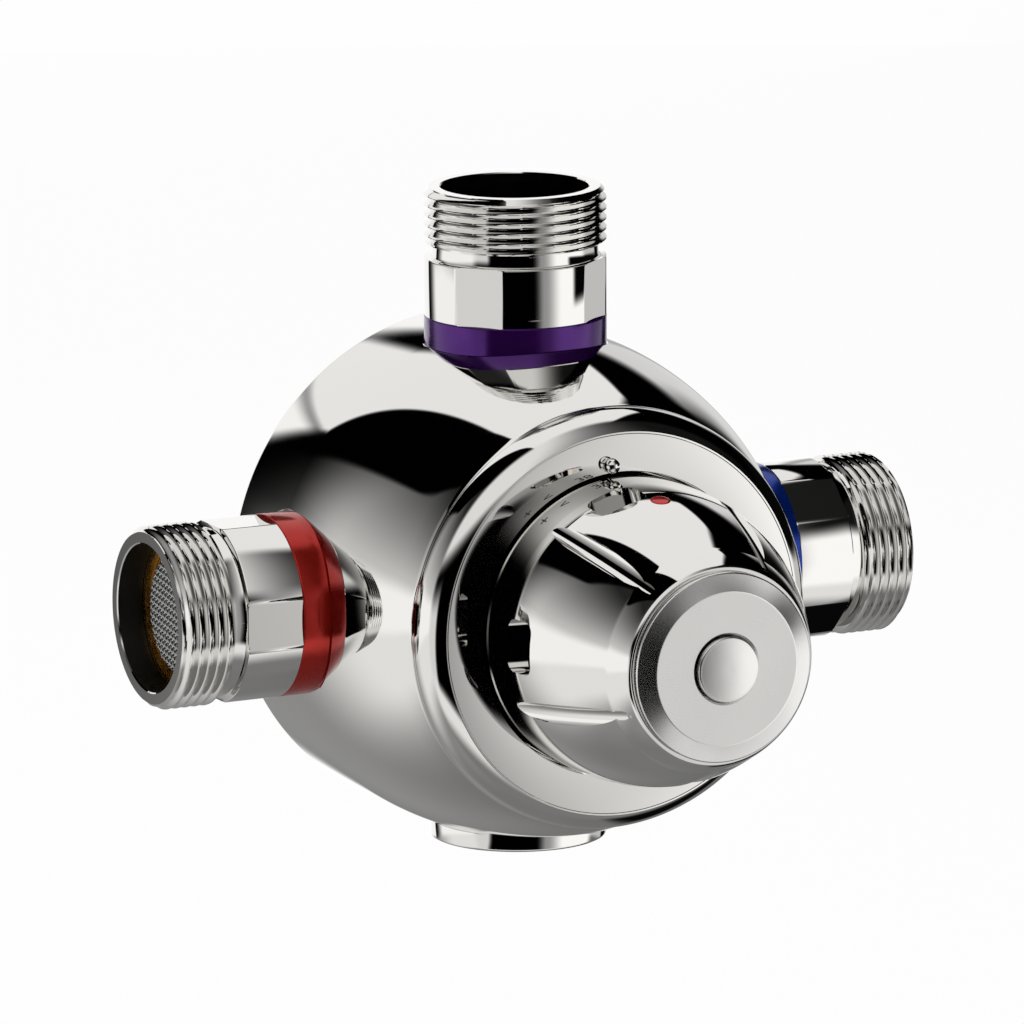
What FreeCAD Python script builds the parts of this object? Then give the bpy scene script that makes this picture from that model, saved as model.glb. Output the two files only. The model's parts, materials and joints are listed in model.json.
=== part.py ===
import FreeCAD, Part
import math
import os

# Thermostatic mixing valve, millimetres.
# +Z is up, the knob faces -Y, the hot inlet is on the left (-X).
# The origin is the middle of the flat back face. "Depth" is the distance in front
# of that face, along the valve axis, and "reach" is the distance from the valve axis
# along a port.

V = FreeCAD.Vector

# Drum-shaped casting
PORT_DEPTH = 30.0
DRUM_R = 59.1
DRUM_EDGE = 3.0
DRUM_EDGE_WIDTH = 3.1
DRUM_FLANK_DEPTH = 25.0
DRUM_BELLY = 2.4
COLLAR_WALL = 3.5
COLLAR_LENGTH = 9.8
COLLAR_LIP = 3.7
COLLAR_WAIST = 4.8
COLLAR_WAIST_OUT = 1.2
COLLAR_FOOT_OUT = 2.1
CASTING_WALL = 5.0
WEB = 6.0
BACK_WALL = 7.0

# Cartridge barrel in the middle of the casting
BARREL_BORE_R = 21.0
BARREL_WALL = 5.0
WINDOW_WIDTH = 7.5
WINDOW_DEG = 56.0
WINDOW_MARGIN = 0.5
BONNET_THREAD_STEP = 3.0
BONNET_THREAD_LENGTH = 14.0
WELL_FLOOR = 7.0
WELL_LENGTH = 16.5
WELL_CLEAR = 2.3

# Face ring around the knob and the stud that marks the setting
FACE_RING_WIDTH = 8.8
FACE_RING_THICKNESS = 4.0
FACE_RING_ROUND = 0.9
KNOB_GAP = 0.5
STUD_BALL_R = 1.8
STUD_NECK_R = 1.1
STUD_CLEAR = 0.4
STUD_ANGLE = 95.0
STUD_SUNK = 3.0

# Ports: G 1 1/4 male thread on spanner sections with four flats
THREAD_R = 20.955
THREAD_LENGTH = 13.2
THREAD_CHAMFER = 1.4
PORT_WALL = 4.055
NECK_WALL = 2.1
RELIEF_LENGTH = 2.9
SPANNER_FLAT_DEPTH = 0.9
SPANNER_LENGTH = 13.5
RING_THICKNESS = 1.85
INLET_RING_WIDTH = 7.6
OUTLET_RING_WIDTH = 6.6
INNER_STEP = 2.9
INNER_STEP_LENGTH = 5.0
SOCKET_CLEAR = 0.5
SOCKET_SUNK = 3.8
TAIL_LENGTH = 14.0
TAIL_WALL = 1.5
TAIL_SHOULDER = 1.2
SEAL_GROOVE_DEPTH = 1.5
SEAL_WIRE_R = 1.1
PLUG_CLEAR = 1.05
PLUG_LENGTH = 4.4
PLUG_HEAD = 10.0
PLUG_SOCKET_R = 7.0
PLUG_SOCKET_DEPTH = 6.0

# Filter and check valve in each inlet
CLIP_WIRE = 1.6
CLIP_RADIAL = 2.2
CLIP_SUNK = 0.8
CLIP_FROM_END = 6.2
CLIP_GAP_DEG = 58.0
CLIP_EAR_R = 2.6
CLIP_HOLE_R = 1.1
FILTER_LIP = 3.5
FILTER_RING_LENGTH = 9.0
MESH_THICKNESS = 0.8
MESH_SEAT = 1.2
CHECK_WALL = 2.2
CHECK_SHOULDER = 1.4
CHECK_LENGTH = 18.8
CHECK_SEAT_R = 8.5
CHECK_SEAT_THICKNESS = 3.0
POPPET_R = 10.6
POPPET_THICKNESS = 3.0
POPPET_STEM_R = 2.0
POPPET_STEM_LENGTH = 14.0
CHECK_SPRING_R = 4.6
CHECK_SPRING_WIRE = 0.8
CHECK_SPIDER = 2.5

# Cartridge: sleeve, seats, shuttle and wax element
SLEEVE_WALL = 3.3
SLEEVE_FOOT = 2.0
SLEEVE_FOOT_HOLE_R = 5.5
SLEEVE_REST = 3.5
SLEEVE_END_GAP = 0.2
HOT_SEAT_FRONT = 18.0
SEAT_THICKNESS = 2.5
SEAT_HOLE_R = 12.0
HOT_GAP = 2.4
COLD_GAP = 1.4
SHUTTLE_LENGTH = 19.0
SHUTTLE_R = 15.0
SHUTTLE_WALL = 2.2
SHUTTLE_ARM = 2.4
DIVIDER_WIDTH = 3.4
HUB_WALL = 1.6
HUB_BACK = 2.5
WAX_BULB_R = 5.5
WAX_BULB_LENGTH = 22.3
WAX_FLANGE_R = 7.6
WAX_FLANGE = 3.0
WAX_NOSE_R = 4.0
WAX_NOSE_LENGTH = 8.0
WAX_PISTON_R = 2.0
RETURN_SPRING_R = 8.0
RETURN_SPRING_WIRE = 1.2
SLIDING_FIT = 0.05
LOOSE_FIT = 0.3
SEAT_FIT = 0.05

# Drive: spindle, nut and overtravel spring inside the bonnet
NUT_R = 12.0
NUT_WALL = 2.4
NUT_SET_BACK = 13.0
NUT_LENGTH = 20.5
NUT_HEAD = 7.0
NUT_KEY = 2.4
NUT_KEY_WIDTH = 3.0
SPINDLE_LEAD = 4.0
CIRCLIP_MARGIN = 1.0
DISC_THICKNESS = 2.5
CIRCLIP_THICKNESS = 1.0
OVERTRAVEL_SPRING_R = 7.8
OVERTRAVEL_SPRING_WIRE = 1.3
SPINDLE_R = 5.0
SPINDLE_COLLAR = 3.0
SPINDLE_COLLAR_WIDTH = 3.0
SPINDLE_GRIP = 10.0
BONNET_FLANGE = 4.0
BONNET_WALL = 4.0
BONNET_NECK_LENGTH = 14.5
SEAL_R = 1.0

# Stops
STOP_RING_CLEAR = 1.0
STOP_RING_THICKNESS = 3.0
STOP_LUG_CLEAR = 2.2
STOP_LUG_WIDTH = 4.5
STOP_LUG_HEIGHT = 5.0
STOP_KEY_DEG = 12.0
STOP_KEY_AT_DEG = 200.0
STOP_CLEAR_DEG = 0.6
KNOB_COLD_DEG = 150.0
KNOB_HOT_DEG = 34.0

# Knob
SKIRT_R = 34.2
SKIRT_SUNK = 9.5
SKIRT_SHOWN = 10.0
KNOB_WALL = 3.0
BELL_LENGTH = 32.5
BELL_BELLY = 2.16
BELL_TAPER = 9.0
NOSE_LENGTH = 6.0
NOSE_TAPER = 3.0
NOSE_ROUND = 0.8
HUB_WALL_R = 4.0
KNOB_WEB = 4.0
CAP_RECESS = 11.0
FLUTES = 5
FLUTE_FIRST_DEG = 59.0
FLUTE_R = 3.2
FLUTE_DEPTH = 1.3
FLUTE_START = 1.0
FLUTE_END = 1.2
POCKET_FIRST_DEG = 34.0
POCKET_WIDTH = 12.0
POCKET_LENGTH = 9.5
POCKET_CORNER = 2.6
POCKET_DEEP = 2.8
DOT_R = 2.25
DOT_THICKNESS = 0.8
DOT_PROUD = 0.15
DOT_FROM_LIP = 12.5
DOT_ANGLE = 93.0

# Cap and button
CAP_SET_IN = 0.8
CAP_SEAT = 1.8
CAP_GAP = 0.3
CAP_RIM = 1.3
CAP_BEVEL = 1.4
CAP_BEVEL_WIDTH = 4.2
CAP_SPIGOT = 3.0
BUTTON_R = 7.4
BUTTON_PROUD = 1.6
BUTTON_DOME = 0.5
BUTTON_GROOVE = 0.35
BUTTON_FLANGE = 1.5
BUTTON_FLANGE_WIDTH = 2.0
BUTTON_SPRING_WIRE = 0.9
SCREW_HEAD_R = 4.6
SCREW_HEAD = 4.0
SCREW_R = 2.5
SCREW_LENGTH = 14.0
SCREW_HEX = 3.4
HUB_FLOOR = 3.9

# Radii that follow from the sizes, from the knob outwards
KNOB_BORE_R = SKIRT_R - KNOB_WALL
BELL_NOSE_R = SKIRT_R - BELL_TAPER
BELL_MID_R = (SKIRT_R + BELL_NOSE_R) / 2 + BELL_BELLY
KNOB_FRONT_R = BELL_NOSE_R - NOSE_TAPER
CAP_R = KNOB_FRONT_R - CAP_SET_IN
CAP_FLAT_R = CAP_R - CAP_BEVEL_WIDTH
CAP_RECESS_R = CAP_R - CAP_SEAT
CAP_SPIGOT_R = CAP_RECESS_R - 0.1
POCKET_FLOOR_R = SKIRT_R - POCKET_DEEP
FACE_RING_BORE_R = SKIRT_R + KNOB_GAP
FACE_RING_R = FACE_RING_BORE_R + FACE_RING_WIDTH
STUD_AT_R = FACE_RING_BORE_R + STUD_CLEAR + STUD_BALL_R
WELL_R = SKIRT_R + WELL_CLEAR
COLLAR_R = FACE_RING_R + COLLAR_WALL
COLLAR_WAIST_R = COLLAR_R + COLLAR_WAIST_OUT
DRUM_SHOULDER_R = COLLAR_WAIST_R + COLLAR_FOOT_OUT
DRUM_BACK_R = DRUM_R - DRUM_EDGE_WIDTH
STOP_RING_R = KNOB_BORE_R - STOP_LUG_CLEAR
STOP_LUG_INNER_R = STOP_RING_R - STOP_LUG_WIDTH
BONNET_FLANGE_R = STOP_RING_R + STOP_RING_CLEAR
BONNET_NOSE_R = NUT_R + BONNET_WALL
STOP_RING_INNER_R = BONNET_NOSE_R + STOP_RING_CLEAR
BARREL_R = BARREL_BORE_R + BARREL_WALL
BONNET_THREAD_R = BARREL_BORE_R + BONNET_THREAD_STEP
SLEEVE_R = BARREL_BORE_R - SLIDING_FIT
SLEEVE_BORE_R = SLEEVE_R - SLEEVE_WALL
NUT_BORE_R = NUT_R - NUT_WALL
SPINDLE_THREAD_R = SPINDLE_R
SPINDLE_COLLAR_R = SPINDLE_R + SPINDLE_COLLAR_WIDTH
BONNET_NECK_R = SPINDLE_R + BONNET_WALL
KNOB_HUB_R = SPINDLE_R + HUB_WALL_R
BUTTON_FLANGE_R = BUTTON_R + BUTTON_FLANGE_WIDTH
BUTTON_SPRING_R = BUTTON_R - 0.4
BUTTON_HOLLOW_R = SCREW_HEAD_R + 1.0
SCREW_WELL_R = BUTTON_SPRING_R + BUTTON_SPRING_WIRE + 1.2

# Radii of a port, from its thread inwards
PORT_BORE_R = THREAD_R - PORT_WALL
RELIEF_R = PORT_BORE_R + NECK_WALL
RING_NECK_R = RELIEF_R
SPANNER_R = RING_NECK_R + RING_THICKNESS
SPANNER_FLATS = 2 * (SPANNER_R - SPANNER_FLAT_DEPTH)
SOCKET_R = SPANNER_R + SOCKET_CLEAR
PLUG_R = SOCKET_R - PLUG_CLEAR
TAIL_THREAD_R = PORT_BORE_R + TAIL_WALL
INNER_STEP_R = PORT_BORE_R - INNER_STEP
FILTER_RING_OUTER_R = PORT_BORE_R - SEAT_FIT
FILTER_RING_INNER_R = PORT_BORE_R - FILTER_LIP

# Depths that follow from the sizes: cartridge, drive, casting, knob
HOT_SEAT_DEPTH = BACK_WALL + HOT_SEAT_FRONT
SHUTTLE_BACK = HOT_SEAT_DEPTH + HOT_GAP
SHUTTLE_FRONT = SHUTTLE_BACK + SHUTTLE_LENGTH
SHUTTLE_MIDDLE = (SHUTTLE_BACK + SHUTTLE_FRONT) / 2 - 0.6
COLD_SEAT_BACK = SHUTTLE_FRONT + COLD_GAP
COLD_SEAT_FRONT = COLD_SEAT_BACK + SEAT_THICKNESS
SLEEVE_FRONT_DEPTH = COLD_SEAT_FRONT + SLEEVE_REST
SENSOR_WINDOW = (BACK_WALL + SLEEVE_FOOT + WINDOW_MARGIN, HOT_SEAT_DEPTH - SEAT_THICKNESS - 1.0)
HOT_WINDOW = (HOT_SEAT_DEPTH + WINDOW_MARGIN, HOT_SEAT_DEPTH + WINDOW_MARGIN + WINDOW_WIDTH)
COLD_WINDOW = (COLD_SEAT_BACK - 1.3 - WINDOW_WIDTH, COLD_SEAT_BACK - 1.3)
WAX_FLANGE_BACK = SHUTTLE_MIDDLE - WAX_FLANGE / 2
WAX_FLANGE_FRONT = WAX_FLANGE_BACK + WAX_FLANGE
WELL_DEPTH = SLEEVE_FRONT_DEPTH + SLEEVE_END_GAP + BONNET_THREAD_LENGTH
BONNET_FRONT_FACE = WELL_DEPTH + BONNET_FLANGE
NUT_BACK = WELL_DEPTH - NUT_SET_BACK
NUT_FRONT = NUT_BACK + NUT_LENGTH
NUT_TRAVEL_FRONT = SPINDLE_LEAD * KNOB_HOT_DEG / 360
CIRCLIP_BACK = NUT_BACK + CIRCLIP_MARGIN
DISC_BACK = CIRCLIP_BACK + CIRCLIP_THICKNESS
DISC_FRONT = DISC_BACK + DISC_THICKNESS
CAVITY_FRONT = NUT_FRONT + NUT_TRAVEL_FRONT + 0.4
COLLAR_BACK = CAVITY_FRONT + 1.2
COLLAR_FRONT = COLLAR_BACK + SPINDLE_COLLAR
BONNET_NECK_FRONT = COLLAR_FRONT + BONNET_NECK_LENGTH
KNOB_HUB_BACK = BONNET_NECK_FRONT + 1.0
SPINDLE_FRONT = KNOB_HUB_BACK + SPINDLE_GRIP
SCREW_SEAT = SPINDLE_FRONT + HUB_FLOOR
FRONT_DEPTH = WELL_DEPTH + WELL_LENGTH
FACE_RING_BACK = FRONT_DEPTH - FACE_RING_THICKNESS
COLLAR_DEPTH = FRONT_DEPTH - COLLAR_LIP
COLLAR_WAIST_DEPTH = COLLAR_DEPTH - COLLAR_WAIST
DRUM_SHOULDER_DEPTH = COLLAR_DEPTH - COLLAR_LENGTH
SKIRT_BACK = FRONT_DEPTH - SKIRT_SUNK
LIP_DEPTH = FRONT_DEPTH + SKIRT_SHOWN
BELL_NOSE_DEPTH = LIP_DEPTH + BELL_LENGTH
BELL_MID_DEPTH = (LIP_DEPTH + BELL_NOSE_DEPTH) / 2
KNOB_FRONT_DEPTH = BELL_NOSE_DEPTH + NOSE_LENGTH
KNOB_WEB_FRONT = KNOB_FRONT_DEPTH - CAP_RECESS
KNOB_WEB_BACK = KNOB_WEB_FRONT - KNOB_WEB
DOT_DEPTH = LIP_DEPTH + DOT_FROM_LIP
CAP_BACK = KNOB_FRONT_DEPTH + CAP_GAP
CAP_CORNER_DEPTH = CAP_BACK + CAP_RIM
CAP_FRONT = CAP_CORNER_DEPTH + CAP_BEVEL
BUTTON_FRONT = CAP_FRONT + BUTTON_PROUD
BUTTON_FLANGE_FRONT = CAP_BACK - CAP_SPIGOT - 0.1
BUTTON_FLANGE_BACK = BUTTON_FLANGE_FRONT - BUTTON_FLANGE

# Places along the ports, from the valve axis
SOCKET_FLOOR = DRUM_R - SOCKET_SUNK
TAIL_END = SOCKET_FLOOR - TAIL_LENGTH
BEYOND_RING = SPANNER_LENGTH + RELIEF_LENGTH + THREAD_LENGTH
INLET_REACH = SOCKET_FLOOR + INLET_RING_WIDTH + BEYOND_RING
OUTLET_REACH = SOCKET_FLOOR + OUTLET_RING_WIDTH + BEYOND_RING
PLUG_REACH = SOCKET_FLOOR + PLUG_LENGTH
FILTER_TOP = INLET_REACH - CLIP_FROM_END - CLIP_WIRE - 0.1
CHECK_TOP = FILTER_TOP - FILTER_RING_LENGTH
CHECK_FOOT = CHECK_TOP - CHECK_LENGTH


# Shapes turned about the valve axis or a port axis

def on_axis(r, depth):
    return V(r, -depth, 0)


def on_port(r, reach):
    return V(r, 0, reach)


def outline(steps, place):
    """Closed face from (r, along) corners; a step of two pairs is an arc through the first."""
    start = place(*steps[0])
    here = start
    edges = []
    for step in steps[1:] + [steps[0]]:
        if isinstance(step[0], tuple):
            end = place(*step[1])
            edges.append(Part.Arc(here, place(*step[0]), end).toShape())
        else:
            end = place(*step)
            if end.isEqual(here, 1e-7):
                continue
            edges.append(Part.makeLine(here, end))
        here = end
    return Part.Face(Part.Wire(edges))


def spin(steps):
    return outline(steps, on_axis).revolve(V(0, 0, 0), V(0, 1, 0), 360)


def spin_port(steps):
    return outline(steps, on_port).revolve(V(0, 0, 0), V(0, 0, 1), 360)


def band(inner, outer, back, front):
    return spin([(inner, back), (outer, back), (outer, front), (inner, front)])


def rod(r, back, front):
    return Part.makeCylinder(r, front - back, V(0, -back, 0), V(0, -1, 0))


def seal(mid_r, depth, wire):
    return Part.makeTorus(mid_r, wire, V(0, -depth, 0), V(0, 1, 0))


def turned(shape, degrees):
    """Turn a copy about the valve axis, anticlockwise as seen from the front."""
    copy = shape.copy()
    copy.rotate(V(0, 0, 0), V(0, -1, 0), degrees)
    return copy


def around(shape, count, first):
    return [turned(shape, first + i * 360.0 / count) for i in range(count)]


def sector(inner, outer, back, front, middle, width):
    """Part of a band, centred on the given angle from +X towards +Z."""
    face = outline([(inner, back), (outer, back), (outer, front), (inner, front)], on_axis)
    start = turned(face, middle - width / 2)
    return start.revolve(V(0, 0, 0), V(0, -1, 0), width)


def hexagon(r):
    """Six-sided face across Z with its corners at the given radius."""
    angles = [math.radians(60 * i) for i in range(7)]
    return Part.Face(Part.makePolygon([V(r * math.cos(a), r * math.sin(a), 0) for a in angles]))


def spring(mid_r, wire, length, turns, start, direction):
    """Round-wire spring from a point along a direction; each half turn is a tilted half ring."""
    rise = (length - 2 * wire) / (2 * turns)
    tilt = math.degrees(math.atan2(rise, 2 * mid_r))
    centre_r = math.hypot(mid_r, rise / 2)
    section = Part.Face(Part.Wire(Part.makeCircle(wire, V(centre_r, 0, 0), V(0, 1, 0))))
    half = section.revolve(V(0, 0, 0), V(0, 0, 1), 180)
    halves = []
    for i in range(2 * turns):
        piece = half.copy()
        if i % 2:
            piece.rotate(V(0, 0, 0), V(0, 0, 1), 180)
        piece.rotate(V(0, 0, 0), V(0, 1, 0), -tilt if i % 2 else tilt)
        piece.translate(V(0, 0, wire + (i + 0.5) * rise))
        halves.append(piece)
    coil = halves[0].fuse(halves[1:])
    stand = FreeCAD.Placement(start, FreeCAD.Rotation(V(0, 0, 1), direction))
    coil.Placement = stand.multiply(coil.Placement)
    return coil


# Ports

PORTS = {
    "hot": {"turn": -90.0, "reach": INLET_REACH, "flats": 0.0},
    "cold": {"turn": 90.0, "reach": INLET_REACH, "flats": 45.0},
    "outlet": {"turn": 0.0, "reach": OUTLET_REACH, "flats": 40.0},
    "plug": {"turn": 180.0, "reach": PLUG_REACH, "flats": 0.0},
}


def to_port(shape, port):
    """Move a shape made along +Z onto its port axis."""
    copy = shape.copy()
    copy.rotate(V(0, 0, 0), V(0, 1, 0), PORTS[port]["turn"])
    copy.translate(V(0, -PORT_DEPTH, 0))
    return copy


def connector(port):
    end = PORTS[port]["reach"]
    shoulder = end - THREAD_LENGTH - RELIEF_LENGTH
    ring_front = shoulder - SPANNER_LENGTH
    groove_front = SOCKET_FLOOR - TAIL_SHOULDER
    groove_back = groove_front - 2 * SEAL_WIRE_R
    groove_r = TAIL_THREAD_R - SEAL_GROOVE_DEPTH
    step_r = PORT_BORE_R - CHECK_SHOULDER
    body = spin_port([
        (PORT_BORE_R, end), (THREAD_R - THREAD_CHAMFER, end),
        (THREAD_R, end - THREAD_CHAMFER), (THREAD_R, end - THREAD_LENGTH + 0.8),
        (RELIEF_R, end - THREAD_LENGTH), (RELIEF_R, shoulder + 0.6),
        (RELIEF_R + 0.6, shoulder), (SPANNER_R, shoulder),
        (SPANNER_R, ring_front), (RING_NECK_R, ring_front),
        (RING_NECK_R, SOCKET_FLOOR), (TAIL_THREAD_R, SOCKET_FLOOR),
        (TAIL_THREAD_R, groove_front), (groove_r, groove_front),
        (groove_r, groove_back), (TAIL_THREAD_R, groove_back),
        (TAIL_THREAD_R, TAIL_END), (INNER_STEP_R, TAIL_END),
        (INNER_STEP_R, TAIL_END + INNER_STEP_LENGTH), (step_r, TAIL_END + INNER_STEP_LENGTH),
        (step_r, CHECK_FOOT), (PORT_BORE_R, CHECK_FOOT),
    ])
    side = SPANNER_FLATS
    blank = Part.makeBox(2 * side, 2 * side, SPANNER_LENGTH, V(-side, -side, ring_front))
    square = Part.makeBox(side, side, SPANNER_LENGTH, V(-side / 2, -side / 2, ring_front))
    waste = blank.cut(square)
    waste.rotate(V(0, 0, 0), V(0, 0, 1), PORTS[port]["flats"])
    body = body.cut(waste)
    if port != "outlet":
        clip_front = end - CLIP_FROM_END
        clip_back = clip_front - CLIP_WIRE - 0.2
        body = body.cut(spin_port([
            (PORT_BORE_R - 1, clip_front), (PORT_BORE_R + CLIP_SUNK, clip_front),
            (PORT_BORE_R + CLIP_SUNK, clip_back), (PORT_BORE_R - 1, clip_back),
        ]))
    return to_port(body, port)


def marking_ring(port):
    front = PORTS[port]["reach"] - BEYOND_RING
    return to_port(spin_port([
        (RING_NECK_R, front), (SPANNER_R, front), (SPANNER_R, SOCKET_FLOOR), (RING_NECK_R, SOCKET_FLOOR),
    ]), port)


def port_seal(port):
    middle = SOCKET_FLOOR - TAIL_SHOULDER - SEAL_WIRE_R
    mid_r = TAIL_THREAD_R - SEAL_GROOVE_DEPTH + SEAL_WIRE_R
    ring = Part.makeTorus(mid_r, SEAL_WIRE_R - 0.02, V(0, 0, middle), V(0, 0, 1))
    bore = Part.makeCylinder(TAIL_THREAD_R + SLIDING_FIT, 10, V(0, 0, middle - 5))
    return to_port(ring.common(bore), port)


def blanking_plug():
    groove_front = SOCKET_FLOOR - TAIL_SHOULDER
    groove_back = groove_front - 2 * SEAL_WIRE_R
    groove_r = TAIL_THREAD_R - SEAL_GROOVE_DEPTH
    body = spin_port([
        (0, PLUG_REACH), (PLUG_R - 0.6, PLUG_REACH), (PLUG_R, PLUG_REACH - 0.6),
        (PLUG_R, SOCKET_FLOOR), (TAIL_THREAD_R, SOCKET_FLOOR),
        (TAIL_THREAD_R, groove_front), (groove_r, groove_front),
        (groove_r, groove_back), (TAIL_THREAD_R, groove_back),
        (TAIL_THREAD_R, TAIL_END), (INNER_STEP_R, TAIL_END),
        (INNER_STEP_R, PLUG_REACH - PLUG_HEAD), (0, PLUG_REACH - PLUG_HEAD),
    ])
    socket = hexagon(PLUG_SOCKET_R).extrude(V(0, 0, PLUG_SOCKET_DEPTH + 1))
    socket.translate(V(0, 0, PLUG_REACH - PLUG_SOCKET_DEPTH))
    return to_port(body.cut(socket), "plug")


# Casting

def drum_flank():
    mid_depth = (DRUM_FLANK_DEPTH + DRUM_SHOULDER_DEPTH) / 2
    return ((DRUM_R + DRUM_SHOULDER_R) / 2 + DRUM_BELLY, mid_depth)


def drum():
    return spin([
        (0, 0), (DRUM_BACK_R, 0),
        ((DRUM_R - 0.3 * DRUM_EDGE, 0.3 * DRUM_EDGE), (DRUM_R, DRUM_EDGE)),
        (DRUM_R, DRUM_FLANK_DEPTH),
        (drum_flank(), (DRUM_SHOULDER_R, DRUM_SHOULDER_DEPTH)),
        ((COLLAR_WAIST_R, COLLAR_WAIST_DEPTH), (COLLAR_R, COLLAR_DEPTH)),
        ((COLLAR_R - 0.9, COLLAR_DEPTH + 2.4), (FACE_RING_R + 0.6, FRONT_DEPTH)),
        (0, FRONT_DEPTH),
    ])


def waterways():
    """Ring-shaped space round the barrel, inside the drum's wall."""
    wall = CASTING_WALL
    front = WELL_DEPTH - WELL_FLOOR
    mid_r, mid_depth = drum_flank()
    hollow = spin([
        (BARREL_R, BACK_WALL), (DRUM_BACK_R - wall, BACK_WALL),
        (DRUM_R - wall, BACK_WALL + DRUM_EDGE), (DRUM_R - wall, DRUM_FLANK_DEPTH),
        (mid_r - wall, mid_depth - 2), (DRUM_SHOULDER_R - wall + 2, front), (BARREL_R, front),
    ])
    for i in range(4):
        web = Part.makeBox(2 * DRUM_R, FRONT_DEPTH, WEB, V(0, -FRONT_DEPTH, -WEB / 2))
        hollow = hollow.cut(turned(web, 45 + 90 * i))
    for port in PORTS:
        boss = Part.makeCylinder(TAIL_THREAD_R + wall, 2 * DRUM_R, V(0, 0, TAIL_END - 4))
        hollow = hollow.cut(to_port(boss, port))
    return hollow


def body_casting():
    body = drum().cut(waterways())
    for port in PORTS:
        socket = Part.makeCylinder(SOCKET_R, DRUM_R, V(0, 0, SOCKET_FLOOR))
        thread = Part.makeCylinder(TAIL_THREAD_R + SLIDING_FIT, DRUM_R, V(0, 0, TAIL_END))
        passage = Part.makeCylinder(INNER_STEP_R, TAIL_LENGTH, V(0, 0, TAIL_END - 10))
        for hole in (socket, thread, passage):
            body = body.cut(to_port(hole, port))
    body = body.cut(rod(BARREL_BORE_R, BACK_WALL, FRONT_DEPTH))
    body = body.cut(rod(BONNET_THREAD_R, WELL_DEPTH - BONNET_THREAD_LENGTH, FRONT_DEPTH))
    body = body.cut(rod(WELL_R, WELL_DEPTH, FRONT_DEPTH))
    body = body.cut(rod(FACE_RING_R + SLIDING_FIT, FACE_RING_BACK, FRONT_DEPTH + 1))
    zones = ((HOT_WINDOW, 180), (COLD_WINDOW, 0), (SENSOR_WINDOW, 90), (SENSOR_WINDOW, 270))
    for (back, front), middle in zones:
        body = body.cut(sector(BARREL_BORE_R - 2, BARREL_R + 1, back, front, middle, WINDOW_DEG))
    return body


def face_ring():
    ring = spin([
        (FACE_RING_BORE_R, FACE_RING_BACK), (FACE_RING_R, FACE_RING_BACK),
        (FACE_RING_R, FRONT_DEPTH - FACE_RING_ROUND),
        ((FACE_RING_R - 0.3 * FACE_RING_ROUND, FRONT_DEPTH - 0.3 * FACE_RING_ROUND),
         (FACE_RING_R - FACE_RING_ROUND, FRONT_DEPTH)),
        (FACE_RING_BORE_R + 0.3, FRONT_DEPTH), (FACE_RING_BORE_R, FRONT_DEPTH - 0.3),
    ])
    hole = rod(STUD_NECK_R, FRONT_DEPTH - STUD_SUNK, FRONT_DEPTH + 1)
    hole.translate(V(STUD_AT_R, 0, 0))
    return ring.cut(turned(hole, STUD_ANGLE))


def index_stud():
    centre = FRONT_DEPTH + 0.85 * STUD_BALL_R
    neck = rod(STUD_NECK_R, FRONT_DEPTH - STUD_SUNK, centre)
    stud = neck.fuse(Part.makeSphere(STUD_BALL_R, V(0, -centre, 0))).removeSplitter()
    below = band(STUD_NECK_R, 2 * STUD_BALL_R, FRONT_DEPTH - 1, FRONT_DEPTH)
    stud = stud.cut(below)
    stud.translate(V(STUD_AT_R, 0, 0))
    return turned(stud, STUD_ANGLE)


# Inlet fittings

def circlip(port):
    """Open ring in the groove of the mouth, with two round ears."""
    top = PORTS[port]["reach"] - CLIP_FROM_END - 0.1
    outer = PORT_BORE_R + CLIP_SUNK - 0.1
    inner = outer - CLIP_RADIAL
    ring = Part.makeCylinder(outer, CLIP_WIRE, V(0, 0, top - CLIP_WIRE))
    ring = ring.cut(Part.makeCylinder(inner, CLIP_WIRE, V(0, 0, top - CLIP_WIRE)))
    half = CLIP_GAP_DEG / 2
    span = 2 * outer
    wedge = Part.Face(Part.makePolygon([
        V(0, 0, top - CLIP_WIRE - 1),
        V(span * math.cos(math.radians(-half)), span * math.sin(math.radians(-half)), top - CLIP_WIRE - 1),
        V(span * math.cos(math.radians(half)), span * math.sin(math.radians(half)), top - CLIP_WIRE - 1),
        V(0, 0, top - CLIP_WIRE - 1),
    ])).extrude(V(0, 0, CLIP_WIRE + 2))
    ring = ring.cut(wedge)
    ear_at = outer - CLIP_EAR_R - 0.9
    for side in (-1, 1):
        angle = math.radians(side * half)
        at = V(ear_at * math.cos(angle), ear_at * math.sin(angle), top - CLIP_WIRE)
        ring = ring.fuse(Part.makeCylinder(CLIP_EAR_R, CLIP_WIRE, at))
    for side in (-1, 1):
        angle = math.radians(side * half)
        at = V(ear_at * math.cos(angle), ear_at * math.sin(angle), top - CLIP_WIRE - 1)
        ring = ring.cut(Part.makeCylinder(CLIP_HOLE_R, CLIP_WIRE + 2, at))
    ring.rotate(V(0, 0, 0), V(0, 0, 1), CLIP_TURN[port])
    return to_port(ring.removeSplitter(), port)


CLIP_TURN = {"hot": -30.0, "cold": 150.0}


def filter_ring(port):
    seat_r = FILTER_RING_INNER_R + MESH_SEAT
    shelf = CHECK_TOP + MESH_THICKNESS
    return to_port(spin_port([
        (FILTER_RING_INNER_R, FILTER_TOP), (FILTER_RING_OUTER_R - 1.6, FILTER_TOP),
        (FILTER_RING_OUTER_R, FILTER_TOP - 1.2), (FILTER_RING_OUTER_R, CHECK_TOP),
        (seat_r, CHECK_TOP), (seat_r, shelf), (FILTER_RING_INNER_R, shelf),
    ]), port)


def filter_mesh(port):
    disc = Part.makeCylinder(FILTER_RING_INNER_R + MESH_SEAT - SEAT_FIT, MESH_THICKNESS, V(0, 0, CHECK_TOP))
    return to_port(disc, port)


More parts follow.
